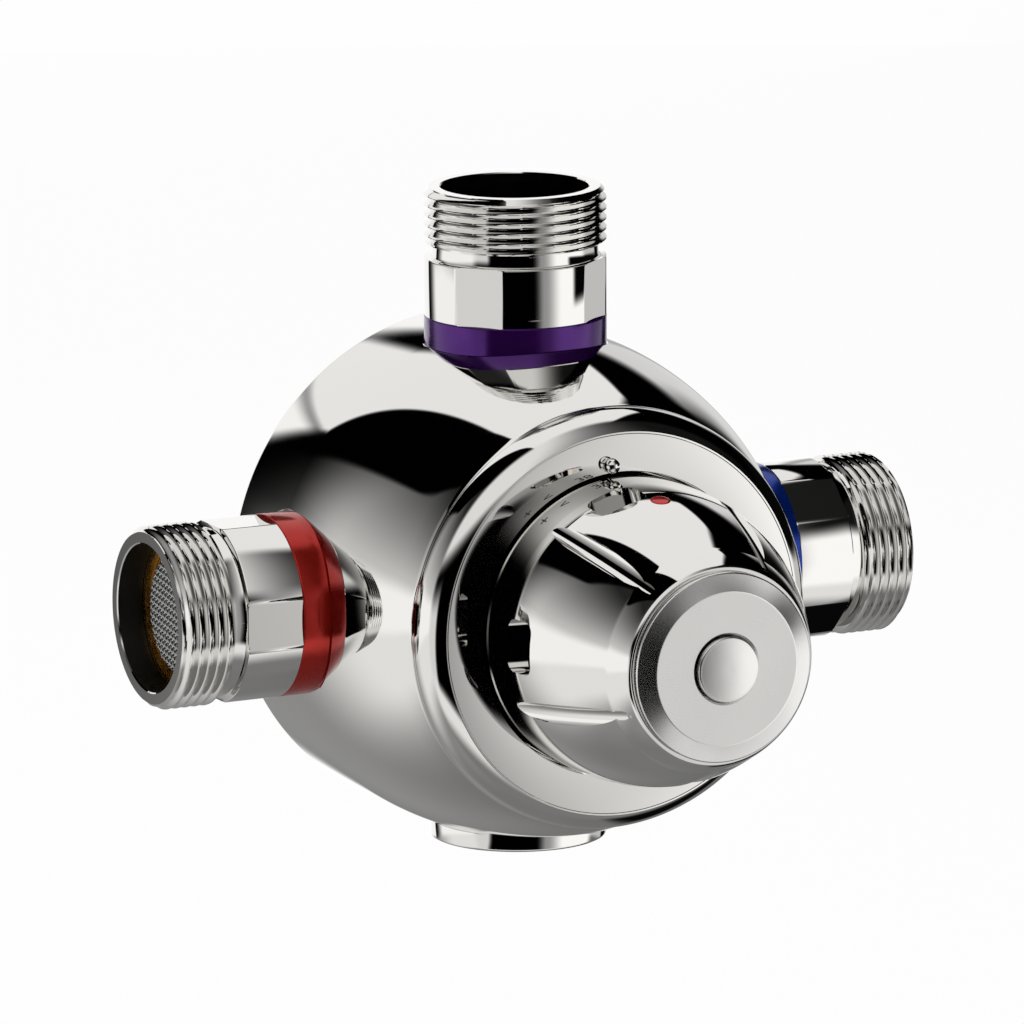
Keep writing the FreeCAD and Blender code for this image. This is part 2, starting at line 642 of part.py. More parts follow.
def check_body(port):
    """Check valve housing: seat at the mouth side, spider with a guide at the inner side."""
    top = CHECK_TOP
    base = CHECK_FOOT
    outer = PORT_BORE_R - SEAT_FIT
    inner = outer - CHECK_WALL
    shell = spin_port([
        (CHECK_SEAT_R, top), (outer, top), (outer, base + 3.0), (outer - 1.4, base),
        (inner - 1.0, base), (inner, base + 2.0), (inner, top - CHECK_SEAT_THICKNESS),
        (CHECK_SEAT_R, top - CHECK_SEAT_THICKNESS),
    ])
    hub_base = base + 0.5
    hub = Part.makeCylinder(CHECK_SPRING_R + 2, CHECK_SPIDER, V(0, 0, hub_base))
    for i in range(3):
        arm = Part.makeBox(inner, CHECK_SPIDER, CHECK_SPIDER, V(0, -CHECK_SPIDER / 2, hub_base))
        arm.rotate(V(0, 0, 0), V(0, 0, 1), 120 * i)
        hub = hub.fuse(arm)
    hub = hub.cut(Part.makeCylinder(POPPET_STEM_R + LOOSE_FIT, 20, V(0, 0, base - 5)))
    return to_port(shell.fuse(hub).removeSplitter(), port)


def check_poppet(port):
    top = CHECK_TOP - CHECK_SEAT_THICKNESS - SEAT_FIT
    base = top - POPPET_THICKNESS
    return to_port(spin_port([
        (0, top + 1.4), (CHECK_SEAT_R - 3, top + 1.4), (CHECK_SEAT_R - 0.6, top),
        (POPPET_R, top), (POPPET_R, base + 1.0), (POPPET_R - 2, base),
        (POPPET_STEM_R, base), (POPPET_STEM_R, base - POPPET_STEM_LENGTH + 1),
        (POPPET_STEM_R - 0.8, base - POPPET_STEM_LENGTH), (0, base - POPPET_STEM_LENGTH),
    ]), port)


def check_spring(port):
    front = CHECK_TOP - CHECK_SEAT_THICKNESS - POPPET_THICKNESS - 2 * SEAT_FIT
    back = CHECK_FOOT + 0.5 + CHECK_SPIDER + SEAT_FIT
    coil = spring(CHECK_SPRING_R, CHECK_SPRING_WIRE / 2, front - back, 6, V(0, 0, back), V(0, 0, 1))
    return to_port(coil, port)


# Cartridge

def cartridge_sleeve():
    sleeve = spin([
        (SLEEVE_R, BACK_WALL), (SLEEVE_R, SLEEVE_FRONT_DEPTH),
        (SLEEVE_BORE_R, SLEEVE_FRONT_DEPTH), (SLEEVE_BORE_R, SHUTTLE_MIDDLE + DIVIDER_WIDTH / 2),
        (SHUTTLE_R + SLIDING_FIT, SHUTTLE_MIDDLE + DIVIDER_WIDTH / 2),
        (SHUTTLE_R + SLIDING_FIT, SHUTTLE_MIDDLE - DIVIDER_WIDTH / 2),
        (SLEEVE_BORE_R, SHUTTLE_MIDDLE - DIVIDER_WIDTH / 2),
        (SLEEVE_BORE_R, BACK_WALL + SLEEVE_FOOT), (SLEEVE_FOOT_HOLE_R, BACK_WALL + SLEEVE_FOOT),
        (SLEEVE_FOOT_HOLE_R, BACK_WALL),
    ])
    for back, front in (SENSOR_WINDOW, HOT_WINDOW, COLD_WINDOW):
        window = sector(SLEEVE_BORE_R - 0.5, SLEEVE_R + 1, back + 0.8, front - 0.8, 0, WINDOW_DEG + 6)
        for cutter in around(window, 4, 0):
            sleeve = sleeve.cut(cutter)
    for depth in sleeve_seals():
        sleeve = sleeve.cut(band(SLEEVE_R - 1.5, SLEEVE_R + 1, depth - 1.1, depth + 1.1))
    return sleeve


def sleeve_seals():
    behind = (SENSOR_WINDOW[1] + HOT_WINDOW[0]) / 2
    between = (HOT_WINDOW[1] + COLD_WINDOW[0]) / 2
    ahead = COLD_WINDOW[1] + 3.0
    return (behind, between, ahead)


def sleeve_o_ring(depth):
    return seal(SLEEVE_R - 1.5 + SEAL_R - 0.02, depth, SEAL_R - 0.03).common(
        rod(BARREL_BORE_R - 0.01, depth - 3, depth + 3))


def seat(back, front):
    return band(SEAT_HOLE_R, SLEEVE_BORE_R, back, front)


def shuttle():
    """Tube that moves between the two seats, with arms to the hub of the wax element."""
    inner = SHUTTLE_R - SHUTTLE_WALL
    tube = spin([
        (inner + 1.2, SHUTTLE_BACK), (SHUTTLE_R, SHUTTLE_BACK), (SHUTTLE_R, SHUTTLE_FRONT),
        (inner + 1.2, SHUTTLE_FRONT), (inner, SHUTTLE_FRONT - 1.2), (inner, SHUTTLE_BACK + 1.2),
    ])
    hub_back = WAX_FLANGE_BACK - HUB_BACK
    hub_r = WAX_FLANGE_R + HUB_WALL
    hub = band(WAX_BULB_R, hub_r, hub_back, WAX_FLANGE_BACK)
    hub = hub.fuse(band(WAX_FLANGE_R, hub_r, hub_back, WAX_FLANGE_FRONT))
    arm = Part.makeBox(inner + 0.5 - WAX_FLANGE_R, WAX_FLANGE_FRONT - hub_back, SHUTTLE_ARM,
                       V(WAX_FLANGE_R + 0.2, -WAX_FLANGE_FRONT, -SHUTTLE_ARM / 2))
    for limb in around(arm, 4, 0):
        hub = hub.fuse(limb)
    groove = band(SHUTTLE_R - 1.2, SHUTTLE_R + 1, SHUTTLE_MIDDLE - 0.9, SHUTTLE_MIDDLE + 0.9)
    return tube.fuse(hub).cut(groove).removeSplitter()


def shuttle_o_ring():
    bore = rod(SHUTTLE_R + 0.02, SHUTTLE_MIDDLE - 2, SHUTTLE_MIDDLE + 2)
    return seal(SHUTTLE_R - 1.2 + 0.68, SHUTTLE_MIDDLE, 0.66).common(bore)


def wax_element():
    foot = WAX_FLANGE_BACK - WAX_BULB_LENGTH
    nose = WAX_FLANGE_FRONT + WAX_NOSE_LENGTH
    return spin([
        (0, foot), (WAX_BULB_R - 1.2, foot), (WAX_BULB_R, foot + 1.2),
        (WAX_BULB_R, WAX_FLANGE_BACK), (WAX_FLANGE_R, WAX_FLANGE_BACK),
        (WAX_FLANGE_R, WAX_FLANGE_FRONT), (WAX_NOSE_R, WAX_FLANGE_FRONT),
        (WAX_NOSE_R, nose - 1), (WAX_NOSE_R - 1, nose), (WAX_PISTON_R + SLIDING_FIT, nose),
        (WAX_PISTON_R + SLIDING_FIT, WAX_FLANGE_FRONT - 1), (0, WAX_FLANGE_FRONT - 1),
    ])


def wax_piston():
    return rod(WAX_PISTON_R, WAX_FLANGE_FRONT + 1, DISC_BACK)


def return_spring():
    back = BACK_WALL + SLEEVE_FOOT + 0.05
    front = WAX_FLANGE_BACK - HUB_BACK - 0.05
    return spring(RETURN_SPRING_R, RETURN_SPRING_WIRE / 2, front - back, 6, V(0, -back, 0), V(0, -1, 0))


# Drive

def drive_nut():
    body = spin([
        (NUT_BORE_R, NUT_BACK), (NUT_R, NUT_BACK), (NUT_R, NUT_FRONT),
        (SPINDLE_THREAD_R + SLIDING_FIT, NUT_FRONT), (SPINDLE_THREAD_R + SLIDING_FIT, NUT_FRONT - NUT_HEAD),
        (NUT_BORE_R, NUT_FRONT - NUT_HEAD),
    ])
    body = body.cut(band(NUT_BORE_R - 1, NUT_BORE_R + 0.9, CIRCLIP_BACK, DISC_BACK))
    key = Part.makeBox(NUT_KEY + 1, NUT_LENGTH, NUT_KEY_WIDTH, V(NUT_R - 1, -NUT_FRONT, -NUT_KEY_WIDTH / 2))
    for rib in around(key, 4, 0):
        body = body.fuse(rib)
    return body.removeSplitter()


def retaining_ring():
    ring = band(NUT_BORE_R - 1.6, NUT_BORE_R + 0.8, CIRCLIP_BACK, DISC_BACK)
    return ring.cut(sector(NUT_BORE_R - 3, NUT_BORE_R + 2, CIRCLIP_BACK - 1, DISC_BACK + 1, 90, 40))


def thrust_disc():
    return rod(NUT_BORE_R - 0.15, DISC_BACK, DISC_FRONT)


def overtravel_spring():
    front = NUT_FRONT - NUT_HEAD - 0.05
    back = DISC_FRONT + 0.05
    wire = OVERTRAVEL_SPRING_WIRE / 2
    return spring(OVERTRAVEL_SPRING_R, wire, front - back, 3, V(0, -back, 0), V(0, -1, 0))


def bonnet():
    cavity = NUT_R + LOOSE_FIT
    body = spin([
        (cavity, SLEEVE_FRONT_DEPTH + 0.2), (BARREL_BORE_R - 0.3, SLEEVE_FRONT_DEPTH + 0.2),
        (BONNET_THREAD_R - 1.0, WELL_DEPTH - BONNET_THREAD_LENGTH + 0.3),
        (BONNET_THREAD_R - SLIDING_FIT, WELL_DEPTH - BONNET_THREAD_LENGTH + 1.3),
        (BONNET_THREAD_R - SLIDING_FIT, WELL_DEPTH - 3.4), (BONNET_THREAD_R - 1.6, WELL_DEPTH - 3.4),
        (BONNET_THREAD_R - 1.6, WELL_DEPTH - 1.2), (BONNET_THREAD_R - SLIDING_FIT, WELL_DEPTH - 1.2),
        (BONNET_THREAD_R - SLIDING_FIT, WELL_DEPTH), (BONNET_FLANGE_R, WELL_DEPTH),
        (BONNET_FLANGE_R, BONNET_FRONT_FACE), (BONNET_NOSE_R, BONNET_FRONT_FACE),
        (BONNET_NOSE_R, COLLAR_FRONT + 2), (BONNET_NECK_R + 1, COLLAR_FRONT + 4),
        (BONNET_NECK_R, COLLAR_FRONT + 5), (BONNET_NECK_R, BONNET_NECK_FRONT),
        (SPINDLE_R + SLIDING_FIT, BONNET_NECK_FRONT), (SPINDLE_R + SLIDING_FIT, COLLAR_FRONT + 0.05),
        (SPINDLE_COLLAR_R + LOOSE_FIT, COLLAR_FRONT + 0.05), (SPINDLE_COLLAR_R + LOOSE_FIT, CAVITY_FRONT),
        (cavity, CAVITY_FRONT),
    ])
    width = NUT_KEY_WIDTH + 2 * LOOSE_FIT
    slot = Part.makeBox(NUT_KEY + 2, CAVITY_FRONT - SLEEVE_FRONT_DEPTH, width,
                        V(NUT_R - 1.5, -CAVITY_FRONT, -width / 2))
    for cutter in around(slot, 4, 0):
        body = body.cut(cutter)
    return body


def bonnet_o_ring():
    return seal(BONNET_THREAD_R - 1.6 + 0.98, WELL_DEPTH - 2.3, 0.95).common(
        rod(BONNET_THREAD_R - 0.01, WELL_DEPTH - 5, WELL_DEPTH))


def spindle_seal_depths():
    return (COLLAR_FRONT + 3.5, COLLAR_FRONT + 7.5)


def spindle():
    start = NUT_FRONT - NUT_HEAD + 0.5
    shaft = spin([
        (0, start), (SPINDLE_THREAD_R - 1, start), (SPINDLE_THREAD_R, start + 1),
        (SPINDLE_THREAD_R, COLLAR_BACK), (SPINDLE_COLLAR_R, COLLAR_BACK), (SPINDLE_COLLAR_R, COLLAR_FRONT),
        (SPINDLE_R, COLLAR_FRONT), (SPINDLE_R, SPINDLE_FRONT - 0.8), (SPINDLE_R - 0.8, SPINDLE_FRONT),
        (0, SPINDLE_FRONT),
    ])
    for depth in spindle_seal_depths():
        shaft = shaft.cut(band(SPINDLE_R - 1.2, SPINDLE_R + 1, depth - 0.9, depth + 0.9))
    return shaft.cut(rod(SCREW_R, SPINDLE_FRONT - SCREW_LENGTH + 1, SPINDLE_FRONT + 1))


def spindle_o_ring(depth):
    return seal(SPINDLE_R - 1.2 + 0.72, depth, 0.7).common(rod(SPINDLE_R + 0.02, depth - 2, depth + 2))


def stop_ring():
    """Ring on the bonnet flange; its raised arc ends the knob's travel both ways."""
    face = BONNET_FRONT_FACE + STOP_RING_THICKNESS
    ring = band(STOP_RING_INNER_R, STOP_RING_R, BONNET_FRONT_FACE, face)
    travel = KNOB_COLD_DEG + KNOB_HOT_DEG + STOP_KEY_DEG + 2 * STOP_CLEAR_DEG
    middle = 180 + STOP_KEY_AT_DEG + (KNOB_COLD_DEG - KNOB_HOT_DEG) / 2
    top = face + STOP_LUG_HEIGHT
    lug = sector(STOP_LUG_INNER_R, STOP_RING_R, BONNET_FRONT_FACE, top, middle, 360 - travel)
    return ring.fuse(lug).removeSplitter()


# Knob

def nose_middle():
    """Point halfway round the nose, proud of the straight line between its ends."""
    lean = math.atan2(NOSE_TAPER, NOSE_LENGTH)
    middle_r = (BELL_NOSE_R + KNOB_FRONT_R) / 2
    middle_depth = (BELL_NOSE_DEPTH + KNOB_FRONT_DEPTH) / 2
    return (middle_r + NOSE_ROUND * math.cos(lean), middle_depth + NOSE_ROUND * math.sin(lean))


def bell():
    return [
        (SKIRT_R - 0.4, SKIRT_BACK), (SKIRT_R, SKIRT_BACK + 0.4), (SKIRT_R, LIP_DEPTH),
        ((BELL_MID_R, BELL_MID_DEPTH), (BELL_NOSE_R, BELL_NOSE_DEPTH)),
        (nose_middle(), (KNOB_FRONT_R, KNOB_FRONT_DEPTH)),
    ]


def flute():
    """Round cutter led along an arc flatter than the bell, so the cut is lens shaped."""
    floor = (
        (SKIRT_R, LIP_DEPTH + FLUTE_START),
        (BELL_MID_R - FLUTE_DEPTH, BELL_MID_DEPTH),
        (KNOB_FRONT_R + FLUTE_END, KNOB_FRONT_DEPTH - FLUTE_END),
    )
    path = Part.Arc(*[on_axis(r + FLUTE_R, depth) for r, depth in floor])
    start = path.value(path.FirstParameter)
    ahead = path.tangent(path.FirstParameter)[0]
    circle = Part.Wire(Part.makeCircle(FLUTE_R, start, ahead))
    return Part.Wire(path.toShape()).makePipe(Part.Face(circle))


def pocket():
    """Blind recess in front of the lip, with rounded front corners."""
    back = LIP_DEPTH + 1.0
    corner = V(POCKET_FLOOR_R, -back - POCKET_LENGTH, -POCKET_WIDTH / 2)
    box = Part.makeBox(SKIRT_R, POCKET_LENGTH, POCKET_WIDTH, corner)
    corners = [e for e in box.Edges if abs(e.Length - SKIRT_R) < 1e-6]
    return box.makeFillet(POCKET_CORNER, corners)


def knob():
    well_wall_r = SCREW_WELL_R + 3
    body = spin(bell() + [
        (CAP_RECESS_R, KNOB_FRONT_DEPTH), (CAP_RECESS_R, KNOB_WEB_FRONT), (SCREW_WELL_R, KNOB_WEB_FRONT),
        (SCREW_WELL_R, SCREW_SEAT), (SCREW_R + LOOSE_FIT, SCREW_SEAT),
        (SCREW_R + LOOSE_FIT, SPINDLE_FRONT + 0.01), (SPINDLE_R + 0.01, SPINDLE_FRONT + 0.01),
        (SPINDLE_R + 0.01, KNOB_HUB_BACK), (KNOB_HUB_R, KNOB_HUB_BACK),
        (KNOB_HUB_R, SPINDLE_FRONT), (well_wall_r, SCREW_SEAT),
        (well_wall_r, KNOB_WEB_BACK), (BELL_NOSE_R - KNOB_WALL - 2.5, KNOB_WEB_BACK),
        (BELL_MID_R - KNOB_WALL - 1.5, BELL_MID_DEPTH - 4), (KNOB_BORE_R - 1.2, LIP_DEPTH + 3),
        (KNOB_BORE_R, LIP_DEPTH - 6), (KNOB_BORE_R, SKIRT_BACK),
    ])
    key_back = BONNET_FRONT_FACE + STOP_RING_THICKNESS + 0.8
    key = sector(STOP_LUG_INNER_R, KNOB_BORE_R + 1, key_back, LIP_DEPTH - 3, STOP_KEY_AT_DEG, STOP_KEY_DEG)
    body = body.fuse(key)
    for cutter in around(flute(), FLUTES, FLUTE_FIRST_DEG):
        body = body.cut(cutter)
    for cutter in around(pocket(), FLUTES, POCKET_FIRST_DEG):
        body = body.cut(cutter)
    return body.cut(dot_seat(DOT_R, 4)).removeSplitter()


def dot_floor():
    """Radius of the bell's surface at the dot, by the arc through lip, middle and nose."""
    corners = ((SKIRT_R, LIP_DEPTH), (BELL_MID_R, BELL_MID_DEPTH), (BELL_NOSE_R, BELL_NOSE_DEPTH))
    arc = Part.Arc(*[on_axis(*corner) for corner in corners])
    level = Part.makeLine(V(0, -DOT_DEPTH, 0), V(2 * SKIRT_R, -DOT_DEPTH, 0))
    return arc.toShape().distToShape(level)[1][0][0].x


def dot_seat(r, height):
    disc = Part.makeCylinder(r, height, V(dot_floor() - DOT_THICKNESS, -DOT_DEPTH, 0), V(1, 0, 0))
    return turned(disc, DOT_ANGLE)


def index_dot():
    return dot_seat(DOT_R - 0.02, DOT_THICKNESS + DOT_PROUD)


def knob_screw():
    shank = rod(SCREW_R, SCREW_SEAT - SCREW_LENGTH, SCREW_SEAT)
    screw = shank.fuse(rod(SCREW_HEAD_R, SCREW_SEAT, SCREW_SEAT + SCREW_HEAD))
    socket = hexagon(SCREW_HEX).extrude(V(0, 0, SCREW_HEAD))
    socket.rotate(V(0, 0, 0), V(1, 0, 0), 90)
    socket.translate(V(0, -SCREW_SEAT - 1, 0))
    return screw.cut(socket).removeSplitter()


def knob_cap():
    hole = BUTTON_R + BUTTON_GROOVE
    return spin([
        (hole, CAP_BACK - CAP_SPIGOT), (CAP_SPIGOT_R, CAP_BACK - CAP_SPIGOT),
        (CAP_SPIGOT_R, CAP_BACK), (CAP_R - 0.3, CAP_BACK), (CAP_R, CAP_BACK + 0.3),
        (CAP_R, CAP_CORNER_DEPTH - 0.6),
        ((CAP_R - 0.25, CAP_CORNER_DEPTH - 0.05), (CAP_R - 0.9, CAP_CORNER_DEPTH + 0.2)),
        (CAP_FLAT_R + 0.8, CAP_FRONT - 0.15),
        ((CAP_FLAT_R + 0.3, CAP_FRONT - 0.04), (CAP_FLAT_R, CAP_FRONT)),
        (hole + 0.4, CAP_FRONT), (hole, CAP_FRONT - 0.4),
    ])


def push_button():
    edge = BUTTON_FRONT - BUTTON_DOME
    hollow_front = BUTTON_FLANGE_FRONT + 2
    return spin([
        (0, BUTTON_FRONT), ((BUTTON_R / 2, BUTTON_FRONT - 0.25 * BUTTON_DOME), (BUTTON_R - 0.5, edge)),
        ((BUTTON_R - 0.12, edge - 0.15), (BUTTON_R, edge - 0.5)),
        (BUTTON_R, BUTTON_FLANGE_FRONT), (BUTTON_FLANGE_R, BUTTON_FLANGE_FRONT),
        (BUTTON_FLANGE_R, BUTTON_FLANGE_BACK), (BUTTON_HOLLOW_R, BUTTON_FLANGE_BACK),
        (BUTTON_HOLLOW_R, hollow_front), (0, hollow_front),
    ])


def button_spring():
    front = BUTTON_FLANGE_BACK - 0.05
    back = SCREW_SEAT + 0.05
    return spring(BUTTON_SPRING_R, BUTTON_SPRING_WIRE / 2, front - back, 5, V(0, -back, 0), V(0, -1, 0))


def pieces():
    made = {
        "body_casting": body_casting(),
        "face_ring": face_ring(),
        "index_stud": index_stud(),
        "blanking_plug": blanking_plug(),
        "plug_o_ring": port_seal("plug"),
        "cartridge_sleeve": cartridge_sleeve(),
        "hot_seat": seat(HOT_SEAT_DEPTH - SEAT_THICKNESS, HOT_SEAT_DEPTH),
        "cold_seat": seat(COLD_SEAT_BACK, COLD_SEAT_FRONT),
        "shuttle": shuttle(),
        "shuttle_o_ring": shuttle_o_ring(),
        "wax_element": wax_element(),
        "wax_piston": wax_piston(),
        "return_spring": return_spring(),
        "drive_nut": drive_nut(),
        "retaining_ring": retaining_ring(),
        "thrust_disc": thrust_disc(),
        "overtravel_spring": overtravel_spring(),
        "bonnet": bonnet(),
        "bonnet_o_ring": bonnet_o_ring(),
        "stop_ring": stop_ring(),
        "spindle": spindle(),
        "knob": knob(),
        "index_dot": index_dot(),
        "knob_screw": knob_screw(),
        "knob_cap": knob_cap(),
        "push_button": push_button(),
        "button_spring": button_spring(),
    }
    for port in ("hot", "cold", "outlet"):
        made[port + "_connector"] = connector(port)
        made[port + "_ring"] = marking_ring(port)
        made[port + "_o_ring"] = port_seal(port)
    for port in ("hot", "cold"):
        made[port + "_circlip"] = circlip(port)
        made[port + "_filter_ring"] = filter_ring(port)
        made[port + "_filter_mesh"] = filter_mesh(port)
        made[port + "_check_body"] = check_body(port)
        made[port + "_check_poppet"] = check_poppet(port)
        made[port + "_check_spring"] = check_spring(port)
    for name, depth in zip(("back", "middle", "front"), sleeve_seals()):
        made["sleeve_o_ring_" + name] = sleeve_o_ring(depth)
    for name, depth in zip(("inner", "outer"), spindle_seal_depths()):
        made["spindle_o_ring_" + name] = spindle_o_ring(depth)
    return made


def main():
    os.makedirs("parts", exist_ok=True)
    for node, shape in pieces().items():
        solids = shape.Solids
        if len(solids) != 1 or not shape.isValid():
            print(node, "solids", len(solids), "valid", shape.isValid())
        solids[0].exportStep(os.path.join("parts", node + ".step"))


main()
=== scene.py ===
import bpy
import bmesh
import json
import math
from mathutils import Matrix, Vector


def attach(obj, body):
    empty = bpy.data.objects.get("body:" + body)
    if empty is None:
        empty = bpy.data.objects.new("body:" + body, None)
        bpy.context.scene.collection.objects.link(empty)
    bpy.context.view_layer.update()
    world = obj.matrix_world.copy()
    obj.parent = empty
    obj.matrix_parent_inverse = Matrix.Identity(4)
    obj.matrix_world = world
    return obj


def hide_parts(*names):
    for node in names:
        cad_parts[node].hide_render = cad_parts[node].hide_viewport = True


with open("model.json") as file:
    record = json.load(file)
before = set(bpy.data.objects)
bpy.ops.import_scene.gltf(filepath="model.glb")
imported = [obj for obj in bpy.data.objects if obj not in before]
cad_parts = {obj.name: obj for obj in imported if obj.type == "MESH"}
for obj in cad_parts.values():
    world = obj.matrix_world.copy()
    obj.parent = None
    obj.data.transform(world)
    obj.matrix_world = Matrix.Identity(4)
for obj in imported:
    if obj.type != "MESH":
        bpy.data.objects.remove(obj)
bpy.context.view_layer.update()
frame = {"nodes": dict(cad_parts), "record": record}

MM = 0.001

# Sizes of the valve in millimetres, as in the solid model. The collar, the face ring's edge, the
# knob's nose and the strainers follow the photograph more closely.
# Depth is measured in front of the flat back, reach along a port from the valve axis.
PORT_DEPTH = 30.0
DRUM_BACK_R, DRUM_EDGE, DRUM_R, DRUM_FLANK_DEPTH = 56.0, 3.0, 59.1, 25.0
DRUM_SHOULDER_R, DRUM_SHOULDER_DEPTH, DRUM_BELLY = 50.3, 71.0, 2.4
WAIST_R, WAIST_DEPTH, COLLAR_R, COLLAR_DEPTH, COLLAR_FRONT_R = 48.25, 75.9, 47.35, 81.05, 43.9
FRONT_DEPTH, BACK_WALL = 84.5, 7.0
BARREL_BORE_R, BONNET_THREAD_R, BONNET_THREAD_BACK = 21.0, 24.0, 54.0
WELL_DEPTH, WELL_R = 68.0, 36.5
PASSAGE_START, PAST_PORT = 15.0, 75.0
FACE_RING_R, FACE_RING_BACK, FACE_RING_BORE_R, FACE_RING_ROUND = 43.5, 80.5, 34.7, 0.22
FACE_RING_BREAK = 0.3
STUD_BALL_R, STUD_NECK_R, STUD_AT_R, STUD_ANGLE, STUD_SUNK = 1.8, 1.1, 36.9, 95.0, 3.0
THREAD_R, THREAD_LENGTH, THREAD_CHAMFER, THREAD_PITCH = 20.955, 13.2, 1.4, 2.309
THREAD_DEPTH = 0.640 * THREAD_PITCH
THREAD_RUNOUT, STEPS_A_PITCH = 0.8, 16
SLACK = 0.05
RELIEF_R, RELIEF_LENGTH = 19.0, 2.9
SPANNER_R, SPANNER_FLATS, SPANNER_LENGTH = 20.85, 39.9, 13.5
RING_NECK_R, PORT_BORE_R = 19.0, 16.9
INNER_STEP_R, INNER_STEP_LENGTH = 14.0, 5.0
SOCKET_R, SOCKET_FLOOR_REACH, TAIL_LENGTH, TAIL_THREAD_R = 21.35, 55.3, 14.0, 18.4
TAIL_END = SOCKET_FLOOR_REACH - TAIL_LENGTH
PLUG_R, PLUG_REACH, PLUG_HEAD, PLUG_SOCKET_R, PLUG_SOCKET_DEPTH = 20.3, 59.7, 10.0, 7.0, 6.0
CLIP_WIRE, CLIP_SUNK, CLIP_FROM_END, CLIP_PLAY = 1.6, 0.8, 6.2, 0.2
FILTER_RING_INNER_R, FILTER_RING_LENGTH, MESH_THICKNESS = 13.4, 9.0, 0.8
CHECK_SHOULDER, CHECK_SHOULDER_REACH = 1.4, 56.8
SKIRT_R, SKIRT_BACK, LIP_DEPTH, KNOB_WALL = 34.2, 75.0, 94.5, 3.0
BELL_MID_R, BELL_MID_DEPTH, BELL_NOSE_R, BELL_NOSE_DEPTH = 31.86, 110.75, 25.2, 127.0
KNOB_FRONT_R, KNOB_FRONT_DEPTH, KNOB_WEB_FRONT, CAP_RECESS_R = 22.2, 133.0, 122.0, 19.6
KNOB_WEB = 4.0
NOSE_MID_R, NOSE_MID_DEPTH = 23.95, 130.2
FLUTES, FLUTE_FIRST_DEG, FLUTE_R, FLUTE_DEPTH, FLUTE_START, FLUTE_END = 5, 59.0, 3.2, 1.3, 1.0, 1.2
POCKET_FIRST_DEG, POCKET_WIDTH, POCKET_LENGTH, POCKET_CORNER = 34.0, 12.0, 9.5, 2.6
POCKET_FLOOR_R = 31.4
DOT_R, DOT_DEPTH, DOT_ANGLE, DOT_PROUD, DOT_SUNK = 2.25, 107.0, 93.0, 0.15, 0.6
CAP_R, CAP_BACK, CAP_CORNER_DEPTH, CAP_FLAT_R, CAP_FRONT = 21.4, 133.3, 134.6, 17.2, 136.0
CAP_SPIGOT_R, CAP_SPIGOT = 19.5, 3.0
BUTTON_R, BUTTON_FRONT, BUTTON_DOME, BUTTON_GROOVE = 7.4, 137.6, 0.5, 0.35
BUTTON_FLANGE_R, BUTTON_FLANGE, BUTTON_HOLLOW_R, BUTTON_HOLLOW = 9.4, 1.5, 5.6, 2.0
SCALE_DEPTH, SCALE_HEIGHT, CAPITAL_SHARE, PRINT_PROUD = 89.0, 3.0, 0.7, 0.02

PORT_LEVEL = Vector((0, -PORT_DEPTH, 0))
PORTS = {
    "hot": {"turn": -90.0, "reach": 92.5, "flats": 0.0, "ring": "red_ring"},
    "cold": {"turn": 90.0, "reach": 92.5, "flats": 45.0, "ring": "blue_ring"},
    "outlet": {"turn": 0.0, "reach": 91.5, "flats": 40.0, "ring": "violet_ring"},
    "plug": {"turn": 180.0},
}


# Camera, at the photograph's place

CAMERA_AZIMUTH, CAMERA_ELEVATION, CAMERA_ROLL = -25.734, 11.848, -0.337
CAMERA_DISTANCE, CAMERA_RIGHT, CAMERA_UP = 2268.9, -1.105, 15.194
CAMERA_LENS = 348.06


def make_camera():
    az, el, roll = (math.radians(a) for a in (CAMERA_AZIMUTH, CAMERA_ELEVATION, CAMERA_ROLL))
    back = Vector((math.sin(az) * math.cos(el), -math.cos(az) * math.cos(el), math.sin(el)))
    level = Vector((math.cos(az), math.sin(az), 0))
    upright = back.cross(level)
    right = math.cos(roll) * level + math.sin(roll) * upright
    up = math.cos(roll) * upright - math.sin(roll) * level
    place = back * CAMERA_DISTANCE + right * CAMERA_RIGHT + up * CAMERA_UP + PORT_LEVEL
    data = bpy.data.cameras.new("camera")
    data.lens = CAMERA_LENS
    data.sensor_width = 36.0
    data.clip_end = 20.0
    camera = bpy.data.objects.new("camera", data)
    bpy.context.scene.collection.objects.link(camera)
    turn = Matrix((right, up, back)).transposed().to_4x4()
    camera.matrix_world = Matrix.Translation(place * MM) @ turn
    bpy.context.scene.camera = camera


# Profiles and turned shapes

def circle_through(a, b, c):
    """Centre and radius."""
    ax, ay = a
    bx, by = b
    cx, cy = c
    sa, sb, sc = (x * x + y * y for x, y in (a, b, c))
    d = 2 * (ax * (by - cy) + bx * (cy - ay) + cx * (ay - by))
    ux = (sa * (by - cy) + sb * (cy - ay) + sc * (ay - by)) / d
    uy = (sa * (cx - bx) + sb * (ax - cx) + sc * (bx - ax)) / d
    return ux, uy, math.hypot(ax - ux, ay - uy)


def arc_points(a, b, c, count):
    """Points on the circle through a, b and c, from after a up to c."""
    ux, uy, radius = circle_through(a, b, c)
    ax, ay = a
    bx, by = b
    cx, cy = c
    start = math.atan2(ay - uy, ax - ux)
    middle = (math.atan2(by - uy, bx - ux) - start) % (2 * math.pi)
    sweep = (math.atan2(cy - uy, cx - ux) - start) % (2 * math.pi)
    if middle > sweep:
        sweep -= 2 * math.pi
    turns = [start + sweep * i / count for i in range(1, count + 1)]
    return [(ux + radius * math.cos(turn), uy + radius * math.sin(turn)) for turn in turns]


